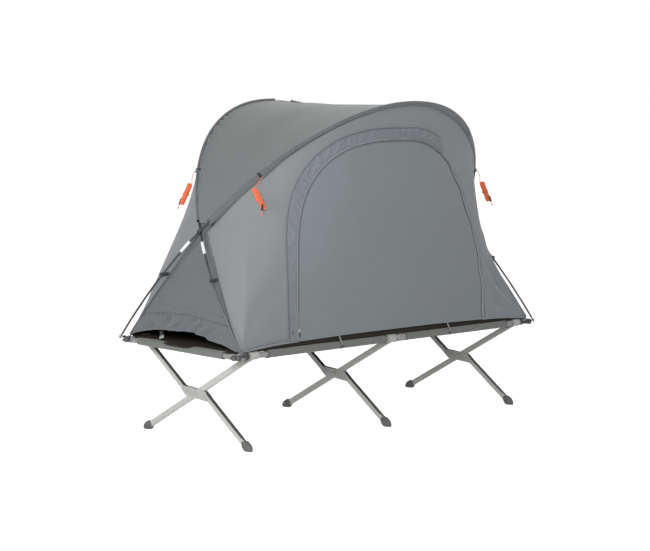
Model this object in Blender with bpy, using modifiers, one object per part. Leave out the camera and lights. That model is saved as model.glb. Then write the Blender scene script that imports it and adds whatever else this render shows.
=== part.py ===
"""Cot tent: a folding scissor-leg camp bed that carries a two-pole tent with a hinged zip door.

Metres, +Z up. X runs along the bed, the door side faces -Y, and the origin is under the bed's middle
at floor level. "Near" is the door side (-Y), "far" is the other side, "left" is -X and "right" is +X.
"""
import math

import bmesh
import bpy
import numpy as np
from mathutils import Matrix, Vector

# Fits
GAP = 0.0003
RUNNING_GAP = 0.0004

# Cot frame
RAIL_HEIGHT = 0.394
RAIL_SPACING = 0.679
RAIL_RADIUS = 0.0125
RAIL_END_X = 0.925
RAIL_SPLIT = 0.003
LEG_SET_IN = 0.0805
MIDDLE_LEG_X = -0.0125
FOOT_SPREAD = 0.673
LEG_WIDTH = 0.026
LEG_THICKNESS = 0.016
LEG_EDGE = 0.004
LEG_TOP_GAP = 0.021
LEG_END_GAP = 0.034

# Scissor joint
CRANK_OFFSET = 0.030
HALF_LEG_START = 0.045
SADDLE_SHEET = 0.002
SADDLE_OVERLAP = 0.034
SADDLE_TIP_WIDTH = 0.0208
SADDLE_SET_BACK = 0.004
SADDLE_WAIST = 0.0221
SADDLE_WAIST_REACH = 0.020
PIVOT_RADIUS = 0.0038
PIVOT_HEAD_RADIUS = 0.0075
PIVOT_HEAD = 0.0035
RIVET_SHAFT = 0.0025
RIVET_RADIUS = 0.0044
RIVET_HEAD = 0.0026
RIVET_DROP = 0.034
HEAD_TAPER = 0.75
SADDLE_RIVET = 0.022

# Feet
FOOT_RADIUS = 0.0215
FOOT_HALF_LENGTH = 0.033
FOOT_CENTRE = 0.029

# Rail fittings
BRACKET_RADIUS = 0.0165
BRACKET_LENGTH = 0.046
LUG_WIDTH = 0.022
LUG_REACH = 0.046
HINGE_RADIUS = 0.0176
HINGE_CLAMP = (-0.050, -0.0015)
HINGE_COLLAR = (0.0025, 0.060)
HINGE_PLATE_SHEET = 0.0022
HINGE_PLATE_REACH = 0.017
HINGE_PLATE_HEIGHT = 0.010
HINGE_PLATE_RAISE = 0.0078
PLUG_COLLAR = 0.0047
PIN_RADIUS = 0.005
PIN_LENGTH = 0.024
PIN_NOSE = 0.008

# End bars
END_BAR_SET_OUT = 0.010
END_BAR_RADIUS = 0.011
END_BAR_FLAT = 0.0025
END_BAR_FLAT_HEIGHT = 0.0135
END_BAR_TAPER = 0.020
END_BAR_LAND = 0.0165

# Bed sling
SLING_SHEET = 0.0012
SLING_RISE = 0.0126
SLING_SIDE_CLEARANCE = 0.0225
SLING_END_CLEARANCE = 0.030
SLING_SLEEVE = 0.0015
SLING_SLEEVE_START = 0.064
SLING_SLEEVE_SET_IN = 0.155
SLING_LAP = 0.020
SLING_EDGE = 0.006
BAR_SLEEVE = 0.0024
BAR_SLEEVE_HALF = 0.270
BAR_EDGE = 0.003

# Tent poles: half ellipses in planes that lean across the bed
POLE_RADIUS = 0.0045
POLE_OVERHANG = 0.0167
POLE_RISE = 1.3157
POLE_LEAN = math.radians(39.0)
POLE_FULLNESS = 2.043
POLE_SET_OUT = 0.0455
POLE_RAISE = 0.001
POLE_STAGGER = 0.0065
POLE_POINTS = 33
POLE_SAMPLES = 400
SLEEVE_SAMPLES = 125
TIP_RADIUS = 0.0030
TIP_LENGTH = 0.026
FERRULE_RADIUS = 0.0064
FERRULE_LENGTH = 0.058
STEP = 0.0005
FERRULES = 7
FIRST_FERRULE = 0.54

# Tent fabric
SHEET = 0.0015
SLEEVE_RADIUS = 0.0108
SLEEVE_SHEET = 0.0014
SLEEVE_START = 0.055
PANEL_START = 0.022
SLEEVE_BREAK = (0.0, 0.105)
EDGE_INSET = 0.0155
SEAM_SETBACK = 0.0045
SEAM_INSET = 0.020
SEAM_DROP = 0.012
SEAM_BOW = 0.012
SHOULDER = 0.80
CORNER_PACKING = 0.975
CORNER_POWER = 12
HEM_SET_OUT = 0.0065
HEM_DIP = 0.020
HEM_CORNER_RAISE = 0.0025
ROOF_SAG = 0.012
END_HEM_RISE = 0.055
END_BILLOW = 0.012
FLOOR_RAISE = 0.0185
FLOOR_SIDE_CLEARANCE = 0.006
FLOOR_END_CLEARANCE = 0.010
FLOOR_SHEET = 0.0012

# Door
DOOR_HALF_WIDTH = 0.590
DOOR_SILL = 0.002
DOOR_HEIGHT = 0.818
DOOR_SQUARENESS = (3.4, 2.0)
DOOR_GAP = 0.0035
DOOR_SIDE_CLEARANCE = 0.0008
FLAP_WIDTH = 0.044
FLAP_START = 0.012
FLAP_ENDS = (0.015, 0.62)
FLAP_STANDOFF = 0.0026
FLAP_SHEET = 0.0012
SLIDER = (0.0080, 0.0036, 0.0140)
SLIDER_RISE = 0.038
SLIDER_STANDOFF = 0.0036
PULL = (0.0045, 0.0014, 0.018)

# Small tent fittings
CLIP_RISE = 0.375
CLIP_LENGTH = 0.014
CLIP_RADIUS = 0.0080
CLIP_SHEET = 0.0020
CLIP_TAB_WIDTH = 0.0098
CLIP_GAP = 0.003
CUFF_LENGTH = 0.012
CUFF_SHEET = 0.0012
TAB_LENGTH = 0.014
TAB_WIDTH = 0.012
TAB_SHEET = 0.0026
TAB_SINK = 0.0010
STRAP_SHEET = 0.0018
STRAP_WIDTH = 0.0112
BUCKLE_WIDTH = 0.016
BUCKLE_SHEET = 0.0045
BUCKLE_LENGTH = 0.012
BAND_SHEET = 0.0016
BAND_SET_IN = (0.051, 0.035)
RING_RADIUS = 0.0085
RING_WIRE = 0.0014
HEM_TIE_X = 0.35
HEM_TIE_WIDTH = 0.010
HEM_TIE_FOOT_WIDTH = 0.0096
HEM_TIE_SHEET = 0.0020
HEM_TIE_LAP = 0.004
HEM_TIE_DROP = 0.004

# Guy cords
GUY_RISE = 0.924
GUY_TAB_SPLAY = 0.25
CORD_RADIUS = 0.0015
HANK_LENGTH = 0.097
HANK_WIDTH = 0.019
HANK_WAIST = 0.45
HANK_LOOPS = 5
HANK_STEP = 0.0038
LOOP_POINTS = 10
WRAP_TURNS = 2
WRAP_POINTS = 8
WRAP_SQUARENESS = 0.5
WRAP_CLEARANCE = 0.0048
WRAP_START = -0.004
RUN_IN = 0.0436
RUN_IN_RISE = 0.0012
LEAD_SLACK = 0.004
TAIL_LENGTH = 0.065
TAIL_LIFT = 0.004
HANK_DROP = 0.100
HANK_SHIFT = 0.030
HANK_STANDOFF = 0.006
HANK_LEAN = {
    "near_left": math.radians(40), "near_right": math.radians(6),
    "far_left": math.radians(-6), "far_right": math.radians(6),
}

HALF_RAIL = RAIL_SPACING / 2
HALF_FOOT = FOOT_SPREAD / 2
LEG_SET_X = RAIL_END_X - LEG_SET_IN
END_BAR_X = RAIL_END_X + END_BAR_SET_OUT
SLING_HALF_WIDTH = HALF_RAIL - SLING_SIDE_CLEARANCE
SLING_HALF_LENGTH = END_BAR_X - SLING_END_CLEARANCE
SLING_SLEEVE_ENDS = (SLING_SLEEVE_START, RAIL_END_X - SLING_SLEEVE_SET_IN)
BAND_ENDS = tuple(RAIL_END_X - set_in for set_in in BAND_SET_IN)
POLE_HALF_SPAN = RAIL_END_X + POLE_OVERHANG
POLE_CORNER_Y = HALF_RAIL + POLE_SET_OUT
POLE_CORNER_Z = RAIL_HEIGHT + POLE_RAISE
FLOOR_Z = RAIL_HEIGHT + FLOOR_RAISE
FLOOR_HALF_WIDTH = HALF_RAIL + HEM_SET_OUT - FLOOR_SIDE_CLEARANCE
FLOOR_HALF_LENGTH = RAIL_END_X - FLOOR_END_CLEARANCE
HEM_HALF_LENGTH = RAIL_END_X
HEM_Y = HALF_RAIL + HEM_SET_OUT
HEM_CORNER_Z = FLOOR_Z + HEM_CORNER_RAISE
HEM_Z = HEM_CORNER_Z + HEM_DIP
DOOR_BOTTOM = HEM_Z + DOOR_SILL
DOOR_TOP = DOOR_BOTTOM + DOOR_HEIGHT
SLIDER_HEIGHT = DOOR_BOTTOM + SLIDER_RISE
PIVOT_Z = RAIL_HEIGHT * HALF_FOOT / (HALF_FOOT + HALF_RAIL)
LEG_PLANES = (("left", -LEG_SET_X), ("middle", MIDDLE_LEG_X), ("right", LEG_SET_X))
SIDES = (("near", -1), ("far", 1))
ENDS = (("left", -1), ("right", 1))
PLATE_X = LEG_THICKNESS / 2 + 2 * GAP
X_AXIS = Vector((1, 0, 0))
Y_AXIS = Vector((0, 1, 0))
Z_AXIS = Vector((0, 0, 1))

for old in list(bpy.data.objects):
    bpy.data.objects.remove(old, do_unlink=True)

PARTS = bpy.data.collections.new("cot_tent")
CUTTERS = bpy.data.collections.new("cutters")
for collection in (PARTS, CUTTERS):
    bpy.context.scene.collection.children.link(collection)

FINISHES = {
    "rail_tube": ((0.56, 0.57, 0.55), 0.38, 0.75),
    "leg_tube": ((0.50, 0.51, 0.48), 0.42, 0.65),
    "fitting": ((0.60, 0.61, 0.59), 0.40, 0.60),
    "bolt": ((0.62, 0.62, 0.60), 0.30, 0.90),
    "foot": ((0.16, 0.17, 0.16), 0.60, 0.0),
    "sling": ((0.21, 0.23, 0.22), 0.85, 0.0),
    "pole": ((0.03, 0.03, 0.03), 0.35, 0.0),
    "canopy": ((0.22, 0.24, 0.25), 0.80, 0.0),
    "door": ((0.20, 0.22, 0.23), 0.80, 0.0),
    "floor": ((0.02, 0.02, 0.02), 0.75, 0.0),
    "webbing": ((0.03, 0.03, 0.03), 0.80, 0.0),
    "zip": ((0.08, 0.09, 0.10), 0.60, 0.0),
    "guy_cord": ((0.85, 0.10, 0.02), 0.70, 0.0),
}
BODIES = {}


def material(name):
    """The Principled material of this name, made the first time that it is asked for."""
    found = bpy.data.materials.get(name)
    if found:
        return found
    colour, roughness, metallic = FINISHES[name]
    made = bpy.data.materials.new(name)
    made.use_nodes = True
    shader = made.node_tree.nodes["Principled BSDF"]
    shader.inputs["Base Color"].default_value = (*colour, 1)
    shader.inputs["Roughness"].default_value = roughness
    shader.inputs["Metallic"].default_value = metallic
    return made


def body(name, pivot=(0, 0, 0)):
    """An empty on the joint's axis, which carries the pieces that move together."""
    if name not in BODIES:
        empty = bpy.data.objects.new(f"body_{name}", None)
        empty.location = pivot
        PARTS.objects.link(empty)
        BODIES[name] = empty
    return BODIES[name]


def carry(obj, finish, body_name):
    """Gives a piece its material and its place under the body that carries it."""
    obj.data.materials.clear()
    obj.data.materials.append(material(finish))
    holder = BODIES[body_name]
    obj.parent = holder
    obj.matrix_parent_inverse = Matrix.Translation(holder.location).inverted()
    PARTS.objects.link(obj)
    return obj


def mesh_piece(name, shape, finish=None, body_name=None):
    """One object from a bmesh. Without a body it is a cutter."""
    mesh = bpy.data.meshes.new(name)
    bmesh.ops.recalc_face_normals(shape, faces=shape.faces)
    shape.to_mesh(mesh)
    shape.free()
    obj = bpy.data.objects.new(name, mesh)
    if body_name:
        mesh.shade_smooth()
        mesh.set_sharp_from_angle(angle=math.radians(35))
        return carry(obj, finish, body_name)
    obj.hide_render = True
    obj.display_type = "WIRE"
    CUTTERS.objects.link(obj)
    return obj


def combine(obj, shapes, operation):
    """Adds or takes away each shape, with a Boolean of its own."""
    for shape in shapes:
        number = len(obj.modifiers)
        tool = mesh_piece(f"{obj.name}_{operation.lower()}_{number}", shape)
        modifier = obj.modifiers.new(tool.name, "BOOLEAN")
        modifier.operation = operation
        modifier.solver = "EXACT"
        modifier.object = tool


def add(obj, *shapes):
    combine(obj, shapes, "UNION")


def cut(obj, *shapes):
    combine(obj, shapes, "DIFFERENCE")


def as_mesh(obj):
    """A curve object made a mesh with its modifiers applied, so that it can take a Boolean."""
    depsgraph = bpy.context.evaluated_depsgraph_get()
    mesh = bpy.data.meshes.new_from_object(obj.evaluated_get(depsgraph))
    shape = bmesh.new()
    shape.from_mesh(mesh)
    bmesh.ops.remove_doubles(shape, verts=shape.verts, dist=0.00001)
    bmesh.ops.recalc_face_normals(shape, faces=shape.faces)
    shape.to_mesh(mesh)
    shape.free()
    name, place, holder = obj.name, obj.matrix_world.copy(), obj.parent
    finish = obj.data.materials[0].name
    bpy.data.objects.remove(obj, do_unlink=True)
    solid = carry(bpy.data.objects.new(name, mesh), finish, holder.name.removeprefix("body_"))
    solid.matrix_world = place
    mesh.shade_smooth()
    mesh.set_sharp_from_angle(angle=math.radians(35))
    return solid


def along(start, end, across=X_AXIS):
    """A matrix whose Z runs from start to end and whose X stays as near to across as it can."""
    z = (Vector(end) - Vector(start)).normalized()
    y = z.cross(across).normalized()
    x = y.cross(z)
    turn = Matrix((x, y, z)).transposed().to_4x4()
    return Matrix.Translation((Vector(start) + Vector(end)) / 2) @ turn


def rod(start, end, radius, sides=12):
    shape = bmesh.new()
    across = Y_AXIS if abs((Vector(end) - Vector(start)).normalized().x) > 0.9 else X_AXIS
    bmesh.ops.create_cone(
        shape, cap_ends=True, segments=sides, radius1=radius, radius2=radius,
        depth=(Vector(end) - Vector(start)).length, matrix=along(start, end, across),
    )
    return shape


def block(start, end, size_x, size_y, across=X_AXIS):
    """A box from start to end: size_x lies along across, size_y square to both."""
    shape = bmesh.new()
    length = (Vector(end) - Vector(start)).length
    stretch = Matrix.Diagonal((size_x, size_y, length, 1))
    bmesh.ops.create_cube(shape, size=1, matrix=along(start, end, across) @ stretch)
    return shape


def clear_radius(radius, sides):
    """The corner radius of a bore whose flats clear a shaft of this radius."""
    return radius / math.cos(math.pi / sides)


def ring(start, end, outer, bore, sides=10):
    """A plain sleeve: a rectangle spun round the line from start to end."""
    shape = bmesh.new()
    half = (Vector(end) - Vector(start)).length / 2
    inner = clear_radius(bore, sides)
    corners = [(inner, 0, -half), (outer, 0, -half), (outer, 0, half), (inner, 0, half)]
    points = [shape.verts.new(corner) for corner in corners]
    edges = [shape.edges.new((points[i], points[(i + 1) % 4])) for i in range(4)]
    bmesh.ops.spin(
        shape, geom=points + edges, cent=(0, 0, 0), axis=(0, 0, 1),
        angle=2 * math.pi, steps=sides, use_merge=True,
    )
    across = Y_AXIS if abs((Vector(end) - Vector(start)).normalized().x) > 0.9 else X_AXIS
    bmesh.ops.transform(shape, matrix=along(start, end, across), verts=shape.verts)
    return shape


def wire_ring(centre, axis, radius, wire, sides=10):
    """A round-wire ring: a small circle spun round its axis."""
    shape = bmesh.new()
    bmesh.ops.create_circle(
        shape, segments=5, radius=wire,
        matrix=Matrix.Translation((radius, 0, 0)) @ Matrix.Rotation(math.pi / 2, 4, "X"),
    )
    bmesh.ops.spin(
        shape, geom=shape.verts[:] + shape.edges[:], cent=(0, 0, 0), axis=(0, 0, 1),
        angle=2 * math.pi, steps=sides, use_merge=True,
    )
    end = Vector(centre) + Vector(axis)
    turn = along(centre, end)
    turn.translation = Vector(centre)
    bmesh.ops.transform(shape, matrix=turn, verts=shape.verts)
    return shape


def loft(sections):
    """A closed body through rings of equal point counts, with a cap on each end."""
    shape = bmesh.new()
    rows = [[shape.verts.new(point) for point in section] for section in sections]
    count = len(rows[0])
    for lower, upper in zip(rows, rows[1:]):
        for i in range(count):
            j = (i + 1) % count
            shape.faces.new((lower[i], lower[j], upper[j], upper[i]))
    shape.faces.new(rows[0])
    shape.faces.new(rows[-1])
    return shape


def tube_curve(name, path, radius, finish, body_name, radii=None, caps=True):
    """A round tube along a path. Radii, where given, are the radius at each point."""
    curve = bpy.data.curves.new(name, "CURVE")
    curve.dimensions = "3D"
    curve.bevel_depth = radius
    curve.bevel_resolution = 1
    curve.use_fill_caps = caps
    spline = curve.splines.new("POLY")
    spline.points.add(len(path) - 1)
    for i, place in enumerate(path):
        spline.points[i].co = (*place, 1)
        spline.points[i].radius = radii[i] / radius if radii else 1
    return carry(bpy.data.objects.new(name, curve), finish, body_name)


def sheet(name, place, columns, rows, finish, body_name, thickness=SHEET):
    """A fabric panel: a grid over u and v, both from -1 to 1, bent to place(u, v)."""
    shape = bmesh.new()
    bmesh.ops.create_grid(shape, x_segments=columns, y_segments=rows, size=1)
    for vertex in shape.verts:
        vertex.co = place(vertex.co.x, vertex.co.y)
    obj = mesh_piece(name, shape, finish, body_name)
    solid = obj.modifiers.new("cloth", "SOLIDIFY")
    solid.thickness = thickness
    solid.offset = 0
    return obj


def clockwise(direction):
    """The direction turned a quarter turn clockwise, seen along -X from the right end."""
    return Vector((0, direction.z, -direction.y))


# Cot frame geometry
def rail_centre(side, x=0.0):
    return Vector((x, side * HALF_RAIL, RAIL_HEIGHT))


def foot_point(side, x=0.0):
    return Vector((x, side * HALF_FOOT, 0))


def pivot_point(x=0.0):
    return Vector((x, 0, PIVOT_Z))


def half_leg_start(target, x):
    """Where a half leg begins: past the straight leg, and cranked to one side of the pivot."""
    direction = (target - pivot_point(x)).normalized()
    return pivot_point(x) + direction * HALF_LEG_START + clockwise(direction) * CRANK_OFFSET


def leg_bar(name, start, end, body_name):
    """A flattened tube: a box whose four long edges are rounded."""
    shape = block(start, end, LEG_THICKNESS, LEG_WIDTH)
    direction = (Vector(end) - Vector(start)).normalized()
    long_edges = [
        edge for edge in shape.edges
        if abs((edge.verts[1].co - edge.verts[0].co).normalized().dot(direction)) > 0.9
    ]
    bmesh.ops.bevel(
        shape, geom=long_edges, offset=LEG_EDGE, segments=3, affect="EDGES", profile=0.5,
    )
    return mesh_piece(name, shape, "leg_tube", body_name)


def make_foot(name, target, direction, body_name):
    """A moulded boot: an egg round the leg's end, cut flat at the floor, with a pocket for the leg."""
    centre = target - direction * FOOT_CENTRE
    shape = bmesh.new()
    egg = Matrix.Diagonal((FOOT_RADIUS * 0.86, FOOT_RADIUS, FOOT_HALF_LENGTH, 1))
    turn = along(centre - direction, centre + direction)
    bmesh.ops.create_uvsphere(shape, u_segments=14, v_segments=8, radius=1, matrix=turn @ egg)
    foot = mesh_piece(name, shape, "foot", body_name)
    ground = block(target - Z_AXIS * 0.1, target, 0.2, 0.2, X_AXIS)
    end = target - direction * (LEG_END_GAP - GAP)
    pocket = block(
        end, end - direction * 0.1, LEG_THICKNESS + 2 * RUNNING_GAP, LEG_WIDTH + 2 * RUNNING_GAP,
    )
    cut(foot, ground, pocket)


def cross_bore(centre, radius, sides=8):
    """A hole along X through a leg."""
    reach = X_AXIS * 0.02
    return rod(centre - reach, centre + reach, clear_radius(radius + RUNNING_GAP, sides), sides)


def make_straight_leg(where, x):
    top, bottom = rail_centre(-1, x), foot_point(1, x)
    direction = (bottom - top).normalized()
    leg = leg_bar(
        f"straight_leg_{where}", top + direction * LEG_TOP_GAP, bottom - direction * LEG_END_GAP,
        "near_side",
    )
    cut(
        leg, cross_bore(pivot_point(x), PIVOT_RADIUS),
        cross_bore(top + direction * RIVET_DROP, RIVET_SHAFT),
    )
    make_foot(f"far_foot_{where}", bottom, direction, "near_side")


def make_half_legs(where, x):
    """The crossed leg's two halves: the upper one to the far rail, the lower to the near foot."""
    for part, target, gap in (
        ("upper", rail_centre(1, x), LEG_TOP_GAP), ("lower", foot_point(-1, x), LEG_END_GAP),
    ):
        start = half_leg_start(target, x)
        direction = (target - start).normalized()
        leg = leg_bar(f"{part}_half_leg_{where}", start, target - direction * gap, "far_side")
        cut(leg, cross_bore(start + direction * SADDLE_RIVET, RIVET_SHAFT))
        if part == "upper":
            cut(leg, cross_bore(target - direction * RIVET_DROP, RIVET_SHAFT))
        else:
            make_foot(f"near_foot_{where}", target, direction, "far_side")


def saddle_outline(x, starts):
    """The plate's edge round both half legs' ends and the pivot, as one smooth Z."""
    half = LEG_WIDTH / 2
    points = []
    for start, direction in starts:
        side = clockwise(direction)
        tip = start + direction * SADDLE_OVERLAP
        inner = start - direction * SADDLE_SET_BACK
        tip_side = side * SADDLE_TIP_WIDTH / 2
        points += [inner + side * half, tip + tip_side, tip - tip_side]
        waist = direction * SADDLE_WAIST_REACH - side * SADDLE_WAIST / 2
        points.append(pivot_point(x) + waist)
    return points


def make_saddle(where, x):
    """Two cranked plates, one on each side of the straight leg, held together by their rivets."""
    starts = []
    for target in (rail_centre(1, x), foot_point(-1, x)):
        start = half_leg_start(target, x)
        starts.append((start, (target - start).normalized()))
    edge = saddle_outline(x, starts)
    plates = []
    for side in (-1, 1):
        inner = x + side * PLATE_X
        outer = inner + side * SADDLE_SHEET
        plates.append(loft([
            [Vector((inner, p.y, p.z)) for p in edge], [Vector((outer, p.y, p.z)) for p in edge],
        ]))
    first, second = (rivet(start + direction * SADDLE_RIVET) for start, direction in starts)
    saddle = mesh_piece(f"saddle_{where}", first, "fitting", "far_side")
    add(saddle, *plates, second)
    cut(saddle, cross_bore(pivot_point(x), PIVOT_RADIUS))


def headed_pin(centre, shaft, head, grip, height):
    """A pin along X with a domed head at each end: grip is half the length between the heads."""
    stations = [
        (-grip - height, head * HEAD_TAPER), (-grip, head), (-grip, shaft),
        (grip, shaft), (grip, head), (grip + height, head * HEAD_TAPER),
    ]
    return loft([circle_x(centre + X_AXIS * dx, radius, 8) for dx, radius in stations])


def rivet(centre):
    """A rivet whose heads are drawn down into the two plates."""
    return headed_pin(centre, RIVET_SHAFT, RIVET_RADIUS, PLATE_X + SADDLE_SHEET / 2, RIVET_HEAD)


def make_pivot_bolt(where, x):
    grip = PLATE_X + SADDLE_SHEET + GAP
    bolt = headed_pin(pivot_point(x), PIVOT_RADIUS, PIVOT_HEAD_RADIUS, grip, PIVOT_HEAD)
    mesh_piece(f"pivot_bolt_{where}", bolt, "bolt", "near_side")


def circle_x(centre, radius, sides):
    """A ring of points round a line along X."""
    turns = [2 * math.pi * i / sides for i in range(sides)]
    return [centre + Vector((0, radius * math.cos(t), radius * math.sin(t))) for t in turns]


def turned(side, end, stations, sides):
    """A body turned about a rail's centre line, from stations of x and radius."""
    return loft([circle_x(rail_centre(side, end * x), radius, sides) for x, radius in stations])


def make_rails(side_name, side, body_name):
    """The left rail is plain. The right one has the collar that the middle hinge folds on."""
    plain = [(RAIL_SPLIT, RAIL_RADIUS), (RAIL_END_X, RAIL_RADIUS)]
    first, last = HINGE_COLLAR
    collared = [
        (first, BRACKET_RADIUS), (last, BRACKET_RADIUS), (last, RAIL_RADIUS),
        (RAIL_END_X, RAIL_RADIUS),
    ]
    for (end_name, end), stations in zip(ENDS, (plain, collared)):
        rail = turned(side, end, stations, 16)
        mesh_piece(f"{side_name}_rail_{end_name}", rail, "rail_tube", body_name)


def leg_fork(side, x):
    """The two plates under a rail that hold a leg's top, and the rivet through them."""
    target = foot_point(1, x) if side < 0 else half_leg_start(rail_centre(1, x), x)
    direction = (target - rail_centre(side, x)).normalized()
    plates = []
    for face in (-1, 1):
        centre = rail_centre(side, x + face * (PLATE_X + SADDLE_SHEET / 2))
        plates.append(block(centre, centre + direction * LUG_REACH, SADDLE_SHEET, LUG_WIDTH))
    return *plates, rivet(rail_centre(side, x) + direction * RIVET_DROP)


def rail_bore(side, x0, x1):
    reach = 0.01
    start, stop = rail_centre(side, x0 - reach), rail_centre(side, x1 + reach)
    return rod(start, stop, clear_radius(RAIL_RADIUS + RUNNING_GAP, 14), 14)


def make_bracket(side_name, side, end_name, end, body_name):
    x = end * LEG_SET_X
    half = BRACKET_LENGTH / 2
    clamp = rod(rail_centre(side, x - half), rail_centre(side, x + half), BRACKET_RADIUS, 14)
    bracket = mesh_piece(f"{side_name}_bracket_{end_name}", clamp, "fitting", body_name)
    add(bracket, *leg_fork(side, x))
    cut(bracket, rail_bore(side, x - half, x + half))


def make_rail_hinge(side_name, side, body_name):
    """The rail's middle hinge: side plates reach past the split and hold the collar between them."""
    first, last = HINGE_CLAMP
    clamp = rod(rail_centre(side, first), rail_centre(side, last), HINGE_RADIUS, 14)
    hinge = mesh_piece(f"{side_name}_middle_hinge", clamp, "fitting", body_name)
    plates = []
    for face in (-1, 1):
        out = face * (BRACKET_RADIUS + GAP + HINGE_PLATE_SHEET / 2)
        shift = Vector((0, out, HINGE_PLATE_RAISE))
        inner = rail_centre(side, last - HINGE_PLATE_REACH) + shift
        outer = rail_centre(side, HINGE_PLATE_REACH) + shift
        plates.append(block(inner, outer, HINGE_PLATE_SHEET, HINGE_PLATE_HEIGHT, Y_AXIS))
        pin = rail_centre(side, HINGE_PLATE_REACH / 2) + shift
        outward = Y_AXIS * face * (HINGE_PLATE_SHEET / 2 + RIVET_HEAD)
        plates.append(rod(pin, pin + outward, RIVET_RADIUS))
    add(hinge, *leg_fork(side, MIDDLE_LEG_X), *plates)
    cut(hinge, rail_bore(side, first, last))


def make_end_plugs(side_name, side, body_name):
    """Turned plugs in the rail's ends: a collar, the pin that takes the end bar, and a bullet nose."""
    collar_face = RAIL_END_X + GAP
    pin_start = collar_face + PLUG_COLLAR
    pin_end = pin_start + PIN_LENGTH
    stations = [(collar_face, RAIL_RADIUS), (pin_start, RAIL_RADIUS), (pin_start, PIN_RADIUS)]
    for turn in (0, 0.5, 1.0, 1.3):
        stations.append((pin_end + PIN_NOSE * math.sin(turn), PIN_RADIUS * math.cos(turn)))
    for end_name, end in ENDS:
        plug = turned(side, end, stations, 10)
        mesh_piece(f"{side_name}_end_plug_{end_name}", plug, "foot", body_name)


def oval(centre, half_x, half_z, sides=14):
    """A ring of points round a line along Y."""
    turns = [2 * math.pi * i / sides for i in range(sides)]
    return [centre + Vector((half_x * math.cos(t), 0, half_z * math.sin(t))) for t in turns]


def make_end_bar(end_name, end):
    """A tube whose ends are pressed flat and bored for the rails' pins."""
    name = f"end_bar_{end_name}"
    land = HALF_RAIL + END_BAR_LAND
    flat = HALF_RAIL - END_BAR_LAND
    round_end = flat - END_BAR_TAPER
    stations = []
    for y in (-land, -flat, -round_end, round_end, flat, land):
        centre = Vector((end * END_BAR_X, y, RAIL_HEIGHT))
        if abs(y) > round_end:
            stations.append(oval(centre, END_BAR_FLAT, END_BAR_FLAT_HEIGHT))
        else:
            stations.append(oval(centre, END_BAR_RADIUS, END_BAR_RADIUS))
    bar = mesh_piece(name, loft(stations), "rail_tube", name)
    bore_radius = PIN_RADIUS + 2 * GAP
    reach = X_AXIS * 0.02
    for _, side in SIDES:
        centre = Vector((end * END_BAR_X, side * HALF_RAIL, RAIL_HEIGHT))
        bore = rod(centre - reach, centre + reach, clear_radius(bore_radius, 12), 12)
        cut(bar, bore)
    centre = Vector((end * END_BAR_X, HALF_RAIL, RAIL_HEIGHT))
    radial = (centre - Vector((centre.x, 0, PIVOT_Z))).normalized()
    leave = -clockwise(radial)
    slot = block(centre, centre + leave * 0.03, 0.04, 2 * bore_radius)
    cut(bar, slot)


def make_sling():
    """A flat bed sheet whose edges run into fabric sleeves round the rails and the end bars."""
    centre = Vector((0, 0, RAIL_HEIGHT + SLING_RISE))
    length = X_AXIS * SLING_HALF_LENGTH
    web = block(centre - length, centre + length, 2 * SLING_HALF_WIDTH, SLING_SHEET, Y_AXIS)
    sling = mesh_piece("bed_sling", web, "sling", "near_side")
    inner = RAIL_RADIUS + RUNNING_GAP
    first, last = SLING_SLEEVE_ENDS
    for _, side in SIDES:
        for _, end in ENDS:
            start, stop = rail_centre(side, end * first), rail_centre(side, end * last)
            sleeve = ring(start, stop, inner + SLING_SLEEVE, inner)
            shift = Vector((end * 0.001, -side * (SLING_LAP / 2 + SLING_EDGE), SLING_RISE))
            edge = block(
                start + shift, stop + shift - X_AXIS * end * 0.002, SLING_LAP, SLING_SHEET, Y_AXIS,
            )
            add(sling, sleeve, edge)
    inner = END_BAR_RADIUS + RUNNING_GAP
    for _, end in ENDS:
        middle = Vector((end * END_BAR_X, 0, RAIL_HEIGHT))
        half = Y_AXIS * BAR_SLEEVE_HALF
        sleeve = ring(middle - half, middle + half, inner + BAR_SLEEVE, inner)
        join = Vector((end * (END_BAR_X - BAR_EDGE), 0, centre.z))
        back = Vector((end * (SLING_HALF_LENGTH - 0.01), 0, centre.z))
        width = 2 * (BAR_SLEEVE_HALF - 0.001)
        add(sling, sleeve, block(back, join, width, SLING_SHEET, Y_AXIS))


# Tent geometry
def pole_at(side, rise, end=-1):
    """A pole's point at this rise in its own plane. Side -1 is the pole that arches over the door."""
    part = min(rise / POLE_RISE, 1.0)
    span = POLE_HALF_SPAN - side * POLE_STAGGER
    x = end * span * (1 - part ** POLE_FULLNESS) ** (1 / POLE_FULLNESS)
    y = side * (rise * math.sin(POLE_LEAN) - POLE_CORNER_Y)
    return Vector((x, y, POLE_CORNER_Z + rise * math.cos(POLE_LEAN)))


def rise_at_x(x):
    part = min(abs(x) / POLE_HALF_SPAN, 1.0)
    return POLE_RISE * (1 - part ** POLE_FULLNESS) ** (1 / POLE_FULLNESS)


CROSS_RISE = POLE_CORNER_Y / math.sin(POLE_LEAN)


def pole_path(side, first=0.0, last=None, count=POLE_POINTS):
    """Even steps along a pole, from one rise on the left to one on the right."""
    last = first if last is None else last
    turns = np.linspace(0, math.pi, POLE_SAMPLES)
    points = []
    for turn in turns:
        rise = POLE_RISE * math.sin(turn) ** (2 / POLE_FULLNESS)
        end = -1 if turn < math.pi / 2 else 1
        if (rise < first and end < 0) or (rise < last and end > 0):
            continue
        points.append(pole_at(side, rise, end))
    return even_steps(points, count)


def even_steps(points, count):
    places = np.array([tuple(point) for point in points])
    steps = np.linalg.norm(np.diff(places, axis=0), axis=1)
    length = np.concatenate([[0], np.cumsum(steps)])
    wanted = np.linspace(0, length[-1], count)
    return [Vector([np.interp(w, length, places[:, axis]) for axis in range(3)]) for w in wanted]


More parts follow.
